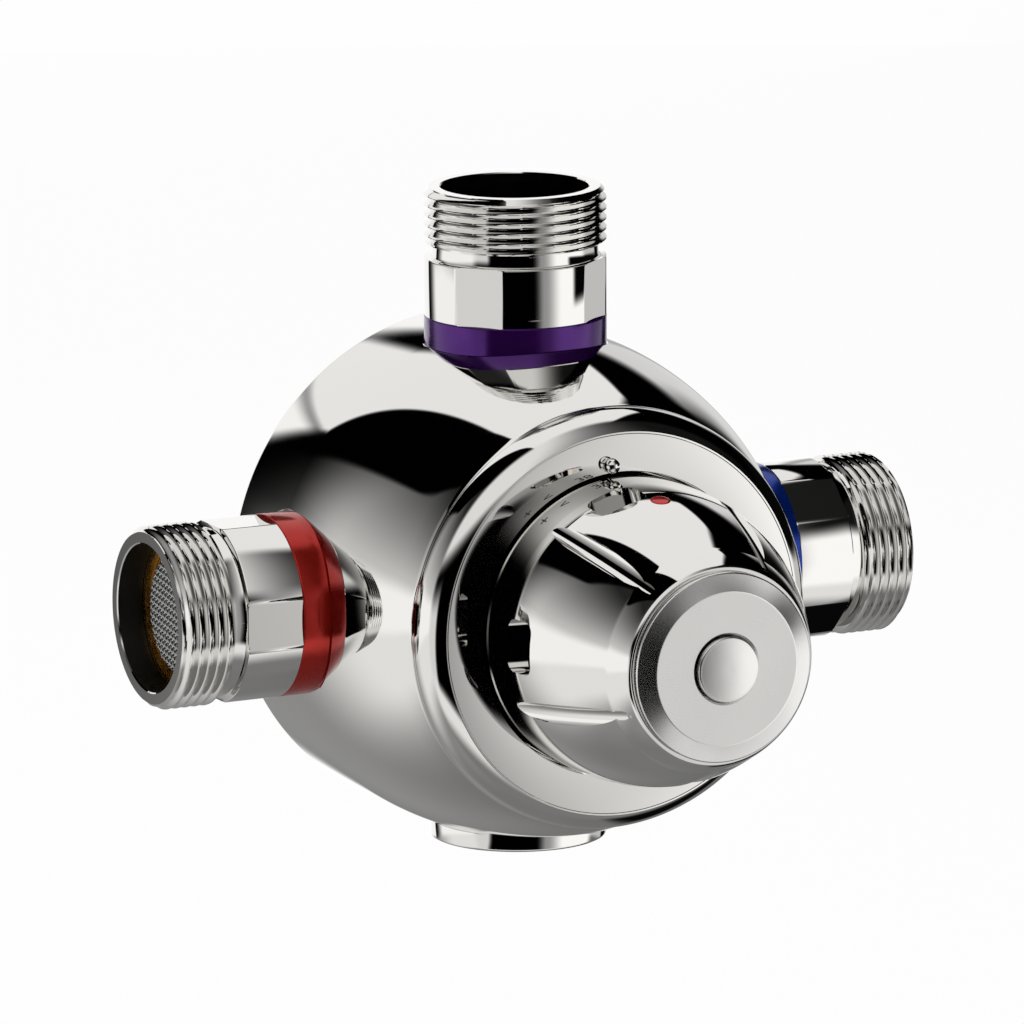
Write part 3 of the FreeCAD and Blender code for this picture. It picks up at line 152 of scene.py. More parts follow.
def profile(steps, arc_count=24, line_step=None):
    """(r, along) points. A step of two pairs is an arc through the first; a third item is its count."""
    points = [steps[0]]
    for step in steps[1:]:
        here = points[-1]
        if isinstance(step[0], tuple):
            count = step[2] if len(step) > 2 else arc_count
            points += arc_points(here, step[0], step[1], count)
        elif line_step:
            length = math.dist(here, step)
            count = max(1, int(length / line_step))
            points += [
                (here[0] + (step[0] - here[0]) * i / count, here[1] + (step[1] - here[1]) * i / count)
                for i in range(1, count + 1)
            ]
        else:
            points.append(step)
    return points


def eased(points, radius, steps=4, limit_deg=28.0):
    """The closed profile with each sharp corner rounded by a small arc."""
    out = []
    count = len(points)
    for i in range(count):
        before, here, after = (Vector(points[j % count]) for j in (i - 1, i, i + 1))
        a, b = before - here, after - here
        if a.length < 1e-9 or b.length < 1e-9 or here.x < 1e-6:
            out.append(tuple(here))
            continue
        turn = math.pi - a.angle(b)
        if math.degrees(turn) < limit_deg:
            out.append(tuple(here))
            continue
        cut = min(radius * math.tan(turn / 2), 0.45 * a.length, 0.45 * b.length)
        start, end = here + a.normalized() * cut, here + b.normalized() * cut
        for k in range(steps + 1):
            t = k / steps
            point = start * (1 - t) ** 2 + here * 2 * t * (1 - t) + end * t * t
            out.append(tuple(point))
    return out


def on_axis(r, angle, depth):
    return Vector((r * math.cos(angle), -depth, r * math.sin(angle)))


def on_port(port):
    turn = Matrix.Rotation(math.radians(PORTS[port]["turn"]), 3, "Y")

    def place(r, angle, reach):
        return turn @ Vector((r * math.cos(angle), r * math.sin(angle), reach)) + PORT_LEVEL
    return place


def mesh_piece(name, verts, faces, sharp_deg=30.0):
    mesh = bpy.data.meshes.new(name)
    mesh.from_pydata([v * MM for v in verts], [], faces)
    mesh.validate()
    piece = bpy.data.objects.new(name, mesh)
    bpy.context.scene.collection.objects.link(piece)
    shade(piece, sharp_deg)
    return piece


def shade(piece, sharp_deg=30.0):
    """Outward faces, smooth, with sharp edges where the surface turns."""
    work = bmesh.new()
    work.from_mesh(piece.data)
    bmesh.ops.remove_doubles(work, verts=work.verts, dist=1e-7)
    bmesh.ops.recalc_face_normals(work, faces=work.faces)
    limit = math.radians(sharp_deg)
    for face in work.faces:
        face.smooth = True
    for edge in work.edges:
        edge.smooth = len(edge.link_faces) == 2 and edge.calc_face_angle(0) < limit
    work.to_mesh(piece.data)
    work.free()


def lathe(name, points, place, segments=256, radius_at=None, sharp_deg=30.0):
    """Closed profile turned about an axis; radius_at(r, angle, along) may change a point's radius."""
    verts, faces, rows = [], [], []
    for r, along in points:
        if r < 1e-6:
            rows.append([len(verts)] * segments)
            verts.append(place(0, 0, along))
            continue
        row = []
        for s in range(segments):
            angle = 2 * math.pi * s / segments
            radius = radius_at(r, angle, along) if radius_at else r
            row.append(len(verts))
            verts.append(place(radius, angle, along))
        rows.append(row)
    for i in range(len(rows)):
        a, b = rows[i], rows[(i + 1) % len(rows)]
        for s in range(segments):
            t = (s + 1) % segments
            corners = []
            for v in (a[s], a[t], b[t], b[s]):
                if v not in corners:
                    corners.append(v)
            if len(corners) > 2:
                faces.append(corners)
    return mesh_piece(name, verts, faces, sharp_deg)


def subtract(piece, *cutters):
    for cutter in cutters:
        change = piece.modifiers.new("cut", "BOOLEAN")
        change.operation = "DIFFERENCE"
        change.solver = "EXACT"
        change.object = cutter
    settle(piece)
    for cutter in cutters:
        bpy.data.objects.remove(cutter)


def settle(piece):
    """Apply the modifiers into the mesh."""
    view = bpy.context.evaluated_depsgraph_get()
    view.update()
    done = bpy.data.meshes.new_from_object(piece.evaluated_get(view))
    piece.modifiers.clear()
    piece.data = done


def lay_normals(piece, field, limit_deg=12.0):
    """Give corners the exact normal of the turned surface wherever a face lies on it."""
    mesh = piece.data
    mesh.update()
    limit = math.cos(math.radians(limit_deg))
    normals = [Vector(n.vector) for n in mesh.corner_normals]
    for face in mesh.polygons:
        for loop in face.loop_indices:
            exact = field(mesh.vertices[mesh.loops[loop].vertex_index].co / MM)
            if exact is not None and exact.dot(face.normal) > limit:
                normals[loop] = exact
    mesh.normals_split_custom_set(normals)


def profile_field(points):
    """Normal of a surface turned about the valve axis, from its (r, depth) line."""
    spans = [(Vector(a), Vector(b)) for a, b in zip(points, points[1:]) if math.dist(a, b) > 1e-9]
    slopes = []
    for a, b in spans:
        along = (b - a).normalized()
        slopes.append(Vector((along.y, -along.x)))
    joints = [slopes[0]] + [(s + t).normalized() for s, t in zip(slopes, slopes[1:])] + [slopes[-1]]

    def field(at):
        r, depth = math.hypot(at.x, at.z), -at.y
        best, normal = 0.12, None
        for k, (a, b) in enumerate(spans):
            if not min(a.y, b.y) - 0.1 <= depth <= max(a.y, b.y) + 0.1:
                continue
            span = b - a
            t = max(0.0, min(1.0, (Vector((r, depth)) - a).dot(span) / span.length_squared))
            off = (a + span * t - Vector((r, depth))).length
            if off < best:
                best = off
                normal = joints[k].lerp(joints[k + 1], t).normalized()
        if normal is None or r < 1e-6:
            return None
        out = Vector((normal.x * at.x / r, -normal.y, normal.x * at.z / r))
        return out if out.x * at.x + out.z * at.z >= 0 else -out
    return field


# Materials

class Value:
    """A number that a material's nodes work out."""

    def __init__(self, tree, socket):
        self.tree = tree
        self.socket = socket

    def join(self, operation, *others):
        node = self.tree.nodes.new("ShaderNodeMath")
        node.operation = operation
        for socket, value in zip(node.inputs, (self, *others)):
            feed(self.tree, socket, value)
        return Value(self.tree, node.outputs["Value"])

    def __add__(self, other):
        return self.join("ADD", other)

    def __sub__(self, other):
        return self.join("SUBTRACT", other)

    def __mul__(self, other):
        return self.join("MULTIPLY", other)

    def __truediv__(self, other):
        return self.join("DIVIDE", other)


def feed(tree, socket, value):
    if isinstance(value, Value):
        tree.links.new(value.socket, socket)
    else:
        socket.default_value = value


def fade(value, start, end):
    """0 at start, 1 at end, with a soft turn at both."""
    node = value.tree.nodes.new("ShaderNodeMapRange")
    node.interpolation_type = "SMOOTHSTEP"
    node.inputs["From Min"].default_value = start
    node.inputs["From Max"].default_value = end
    feed(value.tree, node.inputs["Value"], value)
    return Value(value.tree, node.outputs["Result"])


def blend(low, high, share):
    node = share.tree.nodes.new("ShaderNodeMix")
    node.data_type = "FLOAT"
    feed(share.tree, node.inputs["Factor"], share)
    feed(share.tree, node.inputs["A"], low)
    feed(share.tree, node.inputs["B"], high)
    return Value(share.tree, node.outputs["Result"])


def larger(a, b):
    return a.join("MAXIMUM", b)


def held(value, low, high):
    return value.join("MAXIMUM", low).join("MINIMUM", high)


def material(name, color, metallic=0.0, roughness=0.3, coat=0.0, ior=1.5):
    made = bpy.data.materials.new(name)
    made.use_nodes = True
    shader = made.node_tree.nodes["Principled BSDF"]
    shader.inputs["Base Color"].default_value = (*color, 1.0)
    shader.inputs["Metallic"].default_value = metallic
    shader.inputs["Roughness"].default_value = roughness
    shader.inputs["IOR"].default_value = ior
    shader.inputs["Coat Weight"].default_value = coat
    shader.inputs["Coat Roughness"].default_value = 0.04
    return made


def noise(made, scale, detail=3.0, stretch=(1, 1, 1)):
    nodes, links = made.node_tree.nodes, made.node_tree.links
    where = nodes.new("ShaderNodeTexCoord")
    spread = nodes.new("ShaderNodeMapping")
    spread.inputs["Scale"].default_value = stretch
    texture = nodes.new("ShaderNodeTexNoise")
    texture.inputs["Scale"].default_value = scale
    texture.inputs["Detail"].default_value = detail
    links.new(where.outputs["Object"], spread.inputs["Vector"])
    links.new(spread.outputs["Vector"], texture.inputs["Vector"])
    return texture


def vary(made, socket, texture, low, high):
    """Let a texture move one input of the shader between two values."""
    nodes, links = made.node_tree.nodes, made.node_tree.links
    ramp = nodes.new("ShaderNodeMapRange")
    ramp.inputs["From Min"].default_value = 0.3
    ramp.inputs["From Max"].default_value = 0.7
    ramp.inputs["To Min"].default_value = low
    ramp.inputs["To Max"].default_value = high
    links.new(texture.outputs["Fac"], ramp.inputs["Value"])
    links.new(ramp.outputs["Result"], nodes["Principled BSDF"].inputs[socket])


def tint(made, texture, dark, light):
    nodes, links = made.node_tree.nodes, made.node_tree.links
    mix = nodes.new("ShaderNodeMix")
    mix.data_type = "RGBA"
    mix.inputs["A"].default_value = (*dark, 1.0)
    mix.inputs["B"].default_value = (*light, 1.0)
    links.new(texture.outputs["Fac"], mix.inputs["Factor"])
    links.new(mix.outputs["Result"], nodes["Principled BSDF"].inputs["Base Color"])


def bump(made, texture, strength, distance):
    nodes, links = made.node_tree.nodes, made.node_tree.links
    node = nodes.new("ShaderNodeBump")
    node.inputs["Strength"].default_value = strength
    node.inputs["Distance"].default_value = distance
    links.new(texture.outputs["Fac"], node.inputs["Height"])
    links.new(node.outputs["Normal"], nodes["Principled BSDF"].inputs["Normal"])


def chrome_material():
    made = material("chrome_plate", (0.80, 0.79, 0.765), metallic=1.0, roughness=0.03)
    vary(made, "Roughness", noise(made, 60, 4), 0.018, 0.042)
    return made


def satin_material():
    """Chrome over a finely blasted face, which spreads its reflections."""
    made = material("satin_chrome", (0.80, 0.79, 0.77), metallic=1.0, roughness=0.26)
    vary(made, "Roughness", noise(made, 90, 4), 0.23, 0.29)
    bump(made, noise(made, 4200, 2), 0.06, 0.00001)
    return made


def brass_material():
    made = material("brass", (0.72, 0.47, 0.17), metallic=1.0, roughness=0.28)
    texture = noise(made, 220, 4, (1, 1, 6))
    tint(made, texture, (0.58, 0.36, 0.11), (0.80, 0.55, 0.22))
    vary(made, "Roughness", texture, 0.22, 0.36)
    return made


# Where the clips' two lugs lie, and the span of the painted shade that darkens them
CLIP_LUG_TURN = {"hot": -30.0, "cold": 150.0}
CLIP_LUG_SHADE_SPAN = (0.0075, 0.0088)


def clip_material(name, port):
    """A gilt spring ring, with painted shade that turns it near-black at its two lugs."""
    made = material(name, (0.72, 0.47, 0.17), metallic=1.0, roughness=0.22)
    tree = made.node_tree
    place = tree.nodes.new("ShaderNodeTexCoord")
    parts = tree.nodes.new("ShaderNodeSeparateXYZ")
    tree.links.new(place.outputs["Object"], parts.inputs["Vector"])
    turn = math.radians(CLIP_LUG_TURN[port])
    gap = on_port(port)(1.0, turn, 0.0) - PORT_LEVEL
    y, z = (Value(tree, parts.outputs[name]) for name in ("Y", "Z"))
    along = (y + PORT_DEPTH * MM) * gap.y + z * gap.z
    mix = tree.nodes.new("ShaderNodeMix")
    mix.data_type = "RGBA"
    mix.inputs["A"].default_value = (0.66, 0.40, 0.12, 1.0)
    # painted shade: near-black metal over the lugs
    mix.inputs["B"].default_value = (0.012, 0.012, 0.012, 1.0)
    feed(tree, mix.inputs["Factor"], fade(along, *CLIP_LUG_SHADE_SPAN))
    tree.links.new(mix.outputs["Result"], tree.nodes["Principled BSDF"].inputs["Base Color"])
    vary(made, "Roughness", noise(made, 500, 3), 0.20, 0.32)
    return made


def coloured_ring(name, dark, light):
    made = material(name, light, metallic=0.75, roughness=0.14, coat=0.2)
    tint(made, noise(made, 90, 3), dark, light)
    vary(made, "Roughness", noise(made, 400, 2), 0.12, 0.22)
    return made


def plastic_material(name, dark, light, roughness):
    made = material(name, light, roughness=roughness)
    tint(made, noise(made, 300, 3), dark, light)
    bump(made, noise(made, 2600, 2), 0.12, 0.00002)
    return made


def rubber_material():
    made = material("seal_rubber", (0.02, 0.02, 0.02), roughness=0.55)
    tint(made, noise(made, 500, 3), (0.014, 0.014, 0.015), (0.03, 0.03, 0.03))
    bump(made, noise(made, 3000, 2), 0.2, 0.00002)
    return made


def steel_material(name, color, low, high):
    made = material(name, color, metallic=1.0, roughness=low)
    vary(made, "Roughness", noise(made, 500, 3), low, high)
    return made


LOOKS = {
    "chrome_plate": chrome_material(),
    "satin_chrome": satin_material(),
    "brass": brass_material(),
    # near-black rough metal: painted shade inside the unions' bores
    "bore": steel_material("bore", (0.05, 0.048, 0.043), 0.38, 0.52),
    "hot_clip": clip_material("hot_clip", "hot"),
    "cold_clip": clip_material("cold_clip", "cold"),
    "red_ring": coloured_ring("red_ring", (0.34, 0.010, 0.006), (0.48, 0.020, 0.012)),
    "blue_ring": coloured_ring("blue_ring", (0.002, 0.022, 0.22), (0.004, 0.038, 0.34)),
    "violet_ring": coloured_ring("violet_ring", (0.045, 0.005, 0.110), (0.075, 0.009, 0.175)),
    "red_enamel": coloured_ring("red_enamel", (0.42, 0.006, 0.006), (0.55, 0.012, 0.010)),
    "clip_steel": plastic_material("clip_steel", (0.020, 0.020, 0.021), (0.045, 0.045, 0.045), 0.30),
    "steel_mesh": steel_material("steel_mesh", (0.50, 0.50, 0.49), 0.28, 0.40),
    "spring_steel": steel_material("spring_steel", (0.60, 0.60, 0.60), 0.18, 0.30),
    "moulding": plastic_material("moulding", (0.040, 0.040, 0.043), (0.075, 0.075, 0.078), 0.42),
    "seal_rubber": rubber_material(),
    "scale_print": plastic_material("scale_print", (0.010, 0.010, 0.010), (0.022, 0.022, 0.022), 0.55),
}


def finish(piece, slot, body, *nodes, look=None):
    """Material of a new piece, by its record slot unless a look is named, its body, and the solids that
    it stands for, which are hidden.
    """
    piece.data.materials.clear()
    piece.data.materials.append(LOOKS[look or slot])
    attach(piece, body)
    if nodes:
        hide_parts(*nodes)


def dress_solids():
    clips = {"hot_circlip": "hot_clip", "cold_circlip": "cold_clip"}
    for part in frame["record"]["subparts"]:
        look = clips.get(part["node"], part["material_slot"])
        for spot in frame["nodes"][part["node"]].material_slots:
            spot.material = LOOKS[look]


# Casting

def drum_line():
    mid_r = (DRUM_R + DRUM_SHOULDER_R) / 2 + DRUM_BELLY
    mid_depth = (DRUM_FLANK_DEPTH + DRUM_SHOULDER_DEPTH) / 2
    return profile([
        (DRUM_BACK_R, 0.0),
        ((DRUM_R - 0.3 * DRUM_EDGE, 0.3 * DRUM_EDGE), (DRUM_R, DRUM_EDGE), 10),
        (DRUM_R, DRUM_FLANK_DEPTH),
        ((mid_r, mid_depth), (DRUM_SHOULDER_R, DRUM_SHOULDER_DEPTH), 60),
        (WAIST_R + 0.45, WAIST_DEPTH - 1.1),
        ((WAIST_R, WAIST_DEPTH), (WAIST_R + 0.05, WAIST_DEPTH + 1.2), 8),
        ((COLLAR_R, COLLAR_DEPTH), (COLLAR_FRONT_R, FRONT_DEPTH), 40),
    ])


def make_casting():
    line = drum_line()
    rebate_r = FACE_RING_R + SLACK
    inside = [
        (rebate_r, FRONT_DEPTH), (rebate_r, FACE_RING_BACK), (WELL_R, FACE_RING_BACK),
        (WELL_R, WELL_DEPTH), (BONNET_THREAD_R, WELL_DEPTH), (BONNET_THREAD_R, BONNET_THREAD_BACK),
        (BARREL_BORE_R, BONNET_THREAD_BACK), (BARREL_BORE_R, BACK_WALL), (0, BACK_WALL), (0, 0),
    ]
    drum = lathe("casting", line + inside, on_axis, 360)
    tail_r = TAIL_THREAD_R + SLACK
    socket = [
        (0, PASSAGE_START), (INNER_STEP_R, PASSAGE_START), (INNER_STEP_R, TAIL_END), (tail_r, TAIL_END),
        (tail_r, SOCKET_FLOOR_REACH), (SOCKET_R, SOCKET_FLOOR_REACH), (SOCKET_R, PAST_PORT),
        (0, PAST_PORT),
    ]
    for port in PORTS:
        subtract(drum, lathe("cutter", socket, on_port(port), 192))
    shade(drum)
    lay_normals(drum, profile_field(line))
    finish(drum, "chrome_plate", "valve_body", "body_casting")


def make_face_ring():
    rim, edge = FACE_RING_ROUND, FACE_RING_BREAK
    ring = profile([
        (FACE_RING_BORE_R, FACE_RING_BACK), (FACE_RING_R, FACE_RING_BACK),
        (FACE_RING_R, FRONT_DEPTH - rim),
        ((FACE_RING_R - 0.3 * rim, FRONT_DEPTH - 0.3 * rim), (FACE_RING_R - rim, FRONT_DEPTH), 10),
        (FACE_RING_BORE_R + edge, FRONT_DEPTH), (FACE_RING_BORE_R, FRONT_DEPTH - edge),
    ])
    piece = lathe("face_plate", ring, on_axis, 360)
    finish(piece, "chrome_plate", "valve_body", "face_ring")


def make_stud():
    centre = FRONT_DEPTH + 0.85 * STUD_BALL_R
    angle = math.radians(STUD_ANGLE)
    foot = Vector((STUD_AT_R * math.cos(angle), 0, STUD_AT_R * math.sin(angle)))

    def place(r, turn, depth):
        return foot + on_axis(r, turn, depth)
    joint = centre - math.sqrt(STUD_BALL_R ** 2 - STUD_NECK_R ** 2)
    root = FRONT_DEPTH - STUD_SUNK
    points = [(0, root), (STUD_NECK_R, root), (STUD_NECK_R, joint)]
    low = math.asin(STUD_NECK_R / STUD_BALL_R)
    for i in range(1, 33):
        turn = low + (math.pi - low) * i / 32
        points.append((STUD_BALL_R * math.sin(turn), centre - STUD_BALL_R * math.cos(turn)))
    points[-1] = (0, centre + STUD_BALL_R)
    piece = lathe("setting_stud", points, place, 64)
    finish(piece, "chrome_plate", "valve_body", "index_stud")


# Ports

def thread_dip(angle, reach):
    """How far the thread lies below its crest, as a share of its depth."""
    phase = (reach / THREAD_PITCH - angle / (2 * math.pi)) % 1.0
    slope = abs(2 * phase - 1)
    return 0.55 * slope + 0.45 * (0.5 - 0.5 * math.cos(math.pi * slope))


def make_connector(port):
    end = PORTS[port]["reach"]
    shoulder = end - THREAD_LENGTH - RELIEF_LENGTH
    ring_front = shoulder - SPANNER_LENGTH
    flats = math.radians(PORTS[port]["flats"])
    thread_back = end - THREAD_LENGTH
    step = THREAD_PITCH / STEPS_A_PITCH
    count = int((THREAD_LENGTH - THREAD_CHAMFER - THREAD_RUNOUT) / step)
    threads = [(THREAD_R, end - THREAD_CHAMFER - step * i) for i in range(count + 1)]
    chamfer = [
        (THREAD_R - THREAD_CHAMFER * (1 - i / 8), end - THREAD_CHAMFER * i / 8) for i in range(9)
    ]
    step_r = PORT_BORE_R - CHECK_SHOULDER
    mouth = [(step_r, CHECK_SHOULDER_REACH), (PORT_BORE_R, CHECK_SHOULDER_REACH)]
    if port != "outlet":
        groove_r = PORT_BORE_R + CLIP_SUNK
        groove_front = end - CLIP_FROM_END
        groove_back = groove_front - CLIP_WIRE - CLIP_PLAY
        mouth += [
            (PORT_BORE_R, groove_back), (groove_r, groove_back), (groove_r, groove_front),
            (PORT_BORE_R, groove_front),
        ]
    relief = [
        (THREAD_R, thread_back + THREAD_RUNOUT), (THREAD_R - 0.5, thread_back + 0.4),
        (RELIEF_R + 0.5, thread_back + 0.1), (RELIEF_R, thread_back), (RELIEF_R, shoulder + 0.6),
        (RELIEF_R + 0.15, shoulder + 0.2), (RELIEF_R + 0.6, shoulder),
    ]
    spanner = [
        (SPANNER_R - 0.35, shoulder), (SPANNER_R - 0.1, shoulder - 0.1), (SPANNER_R, shoulder - 0.35),
        (SPANNER_R, ring_front + 0.2), (SPANNER_R - 0.2, ring_front), (RING_NECK_R, ring_front),
    ]
    step_end = TAIL_END + INNER_STEP_LENGTH
    foot = [
        (RING_NECK_R, SOCKET_FLOOR_REACH), (TAIL_THREAD_R, SOCKET_FLOOR_REACH),
        (TAIL_THREAD_R, TAIL_END), (INNER_STEP_R, TAIL_END), (INNER_STEP_R, step_end), (step_r, step_end),
    ]
    points = [(PORT_BORE_R + 0.25, end), (THREAD_R - THREAD_CHAMFER - 0.2, end)]
    points += chamfer + threads[1:] + relief + spanner + foot + mouth + [(PORT_BORE_R, end - 0.25)]
    half = SPANNER_FLATS / 2

    def radius_at(r, angle, reach):
        if reach > thread_back + 0.05 and r > THREAD_R - THREAD_CHAMFER - 0.1:
            return min(r, THREAD_R - THREAD_DEPTH * thread_dip(angle, reach))
        if ring_front <= reach <= shoulder and r > RELIEF_R + 0.65:
            quarter = (angle - flats + math.pi / 4) % (math.pi / 2) - math.pi / 4
            return min(r, half / math.cos(quarter))
        return r
    piece = lathe(port + "_union", points, on_port(port), 360, radius_at, sharp_deg=24.0)
    finish(piece, "chrome_plate", "valve_body", port + "_connector")
    if port != "outlet":
        darken_bore(piece, port)


def darken_bore(piece, port):
    """The inside of a union is bare, dull metal, painted near-black for the shade deep in the bore."""
    piece.data.materials.append(LOOKS["bore"])
    back = Matrix.Rotation(math.radians(-PORTS[port]["turn"]), 3, "Y")
    deepest_r = PORT_BORE_R + CLIP_SUNK + 0.1
    for face in piece.data.polygons:
        spot = back @ (face.center / MM - PORT_LEVEL)
        if spot.z < PORTS[port]["reach"] - 0.2 and math.hypot(spot.x, spot.y) < deepest_r:
            face.material_index = 1


def make_marking_ring(port):
    front = PORTS[port]["reach"] - THREAD_LENGTH - RELIEF_LENGTH - SPANNER_LENGTH
    points = eased([
        (RING_NECK_R, front), (SPANNER_R, front), (SPANNER_R, SOCKET_FLOOR_REACH),
        (RING_NECK_R, SOCKET_FLOOR_REACH),
    ], 0.25)
    piece = lathe(port + "_band", points, on_port(port), 256)
    finish(piece, PORTS[port]["ring"], "valve_body", port + "_ring")


def make_plug():
    head_back = PLUG_REACH - PLUG_HEAD
    points = eased([
        (0, PLUG_REACH), (PLUG_R, PLUG_REACH), (PLUG_R, SOCKET_FLOOR_REACH),
        (TAIL_THREAD_R, SOCKET_FLOOR_REACH), (TAIL_THREAD_R, TAIL_END), (INNER_STEP_R, TAIL_END),
        (INNER_STEP_R, head_back), (0, head_back),
    ], 0.6)
    piece = lathe("closing_plug", points, on_port("plug"), 256)
    floor = PLUG_REACH - PLUG_SOCKET_DEPTH
    hexagon = [(0, floor), (PLUG_SOCKET_R, floor), (PLUG_SOCKET_R, 70), (0, 70)]
    subtract(piece, lathe("cutter", hexagon, on_port("plug"), 6))
    shade(piece)
    finish(piece, "chrome_plate", "valve_body", "blanking_plug")


def filter_top(port):
    return PORTS[port]["reach"] - CLIP_FROM_END - 0.1 - CLIP_WIRE


def make_filter_ring(port):
    top = filter_top(port)
    base = top - FILTER_RING_LENGTH
    outer = PORT_BORE_R - 0.05
    points = eased([
        (FILTER_RING_INNER_R, top), (outer - 1.6, top), (outer, top - 1.2), (outer, base),
        (FILTER_RING_INNER_R + 1.2, base), (FILTER_RING_INNER_R + 1.2, base + MESH_THICKNESS),
        (FILTER_RING_INNER_R, base + MESH_THICKNESS),
    ], 0.3)
    piece = lathe(port + "_brass_ring", points, on_port(port), 192)
    finish(piece, "brass", "valve_body", port + "_filter_ring")


WIRE_PITCH, WIRE_R, WIRE_SIDES = 1.15, 0.25, 5
WEAVE_TURN = 38.0
STRAINER_R, STRAINER_ROUND, STRAINER_FROM_END = 13.2, 1.5, 6.3


def strainer_spot(r, lift, top, base):
    """Radius and height on the strainer, a cap of mesh, r measured along it from its middle."""
    flat = STRAINER_R - STRAINER_ROUND
    bend = STRAINER_ROUND * math.pi / 2
    if r < flat:
        return r, top + lift
    turn = min(1.0, (r - flat) / bend) * math.pi / 2
    radius = flat + (STRAINER_ROUND + lift) * math.sin(turn)
    height = top - STRAINER_ROUND + (STRAINER_ROUND + lift) * math.cos(turn)
    return radius, max(base, height - max(0.0, r - flat - bend))


def make_filter_mesh(port):
    """Plain weave of round wires, drawn to a flat-topped cap that stands in the brass ring."""
    base = filter_top(port) - FILTER_RING_LENGTH + WIRE_R
    top = PORTS[port]["reach"] - STRAINER_FROM_END
    bend = STRAINER_ROUND * math.pi / 2
    reach_r = STRAINER_R - STRAINER_ROUND + bend + top - STRAINER_ROUND - base
    place = on_port(port)
    turn = Matrix.Rotation(math.radians(WEAVE_TURN), 2)
    verts, faces = [], []
    count = int(reach_r / WIRE_PITCH)
    for way in (0, 1):
        for k in range(-count, count + 1):
            across = k * WIRE_PITCH
            half = math.sqrt(max(0.0, reach_r ** 2 - across ** 2))
            steps = int(2 * half / (WIRE_PITCH / 2))
            if steps < 4:
                continue
            first = len(verts)
            for i in range(steps + 1):
                along = -half + 2 * half * i / steps
                wave = math.cos(math.pi * along / WIRE_PITCH) * (-1) ** (k + way)
                for c in range(WIRE_SIDES):
                    a = 2 * math.pi * c / WIRE_SIDES
                    side = across + WIRE_R * math.cos(a)
                    flat = (along, side) if way == 0 else (side, along)
                    spot = turn @ Vector(flat)
                    lift = WIRE_R * (0.95 * wave + math.sin(a))
                    radius, height = strainer_spot(spot.length, lift, top, base)
                    verts.append(place(radius, math.atan2(spot.y, spot.x), height))
            for i in range(steps):
                ring = first + WIRE_SIDES * i
                for c in range(WIRE_SIDES):
                    a, b = ring + c, ring + (c + 1) % WIRE_SIDES
                    faces.append((a, b, b + WIRE_SIDES, a + WIRE_SIDES))
    piece = mesh_piece(port + "_weave", verts, faces, 80.0)
    finish(piece, "steel_mesh", "valve_body", port + "_filter_mesh")


# Knob

def bell_line():
    return profile([
        (SKIRT_R - 0.4, SKIRT_BACK), (SKIRT_R, SKIRT_BACK + 0.4), (SKIRT_R, LIP_DEPTH),
        ((BELL_MID_R, BELL_MID_DEPTH), (BELL_NOSE_R, BELL_NOSE_DEPTH), 70),
        ((NOSE_MID_R, NOSE_MID_DEPTH), (KNOB_FRONT_R + 0.35, KNOB_FRONT_DEPTH - 0.25), 20),
        (KNOB_FRONT_R, KNOB_FRONT_DEPTH),
    ])


def turned(point, degrees):
    angle = math.radians(degrees)
    x = point.x * math.cos(angle) - point.z * math.sin(angle)
    z = point.x * math.sin(angle) + point.z * math.cos(angle)
    return Vector((x, point.y, z))


FLUTE_LINE = [
    (SKIRT_R + FLUTE_R, LIP_DEPTH + FLUTE_START),
    (BELL_MID_R - FLUTE_DEPTH + FLUTE_R, BELL_MID_DEPTH),
    (KNOB_FRONT_R + FLUTE_END + FLUTE_R, KNOB_FRONT_DEPTH - FLUTE_END),
]


def flute_cutter(degrees):
    """A round bar bent along the flute's line."""
    line = [FLUTE_LINE[0]] + arc_points(*FLUTE_LINE, 90)
    centre_r, centre_depth, _ = circle_through(*FLUTE_LINE)
    verts, around = [], 72
    for r, depth in line:
        out = Vector((r - centre_r, centre_depth - depth, 0)).normalized()
        for k in range(around):
            turn = 2 * math.pi * k / around
            spot = Vector((r, -depth, 0)) + out * FLUTE_R * math.cos(turn)
            spot.z = FLUTE_R * math.sin(turn)
            verts.append(turned(spot, degrees))
    last = len(line) - 1
    faces = [
        (row * around + k, row * around + (k + 1) % around,
         (row + 1) * around + (k + 1) % around, (row + 1) * around + k)
        for row in range(last) for k in range(around)
    ]
    faces += [tuple(range(around)), tuple(last * around + k for k in reversed(range(around)))]
    return mesh_piece("cutter", verts, faces)


def pocket_cutter(degrees):
    back = LIP_DEPTH + 1.0
    half = POCKET_WIDTH / 2
    corner = POCKET_CORNER
    ring = []
    for cx, cz, first in (
        (back + POCKET_LENGTH - corner, half - corner, 0), (back + corner, half - corner, 90),
        (back + corner, corner - half, 180), (back + POCKET_LENGTH - corner, corner - half, 270),
    ):
        for i in range(13):
            a = math.radians(first + 90 * i / 12)
            ring.append((cx + corner * math.cos(a), cz + corner * math.sin(a)))
    verts, faces = [], []
    for x in (POCKET_FLOOR_R, POCKET_FLOOR_R + 12):
        for depth, z in ring:
            verts.append(turned(Vector((x, -depth, z)), degrees))
    n = len(ring)
    faces = [tuple(range(n)), tuple(range(2 * n - 1, n - 1, -1))]
    faces += [(i, (i + 1) % n, n + (i + 1) % n, n + i) for i in range(n)]
    return mesh_piece("cutter", verts, faces)


def knob_field(line):
    bell = profile_field(line)
    centre_r, centre_depth, radius = circle_through(*FLUTE_LINE)
    step = 360 / FLUTES

    def field(at):
        for i in range(FLUTES):
            local = turned(at, -(FLUTE_FIRST_DEG + i * step))
            flat = Vector((local.x - centre_r, local.y + centre_depth, 0))
            off = flat * (1 - radius / flat.length)
            off.z = local.z
            if abs(off.length - FLUTE_R) < 0.02 and local.x > 0:
                return turned(-off.normalized(), FLUTE_FIRST_DEG + i * step)
        return bell(at)
    return field


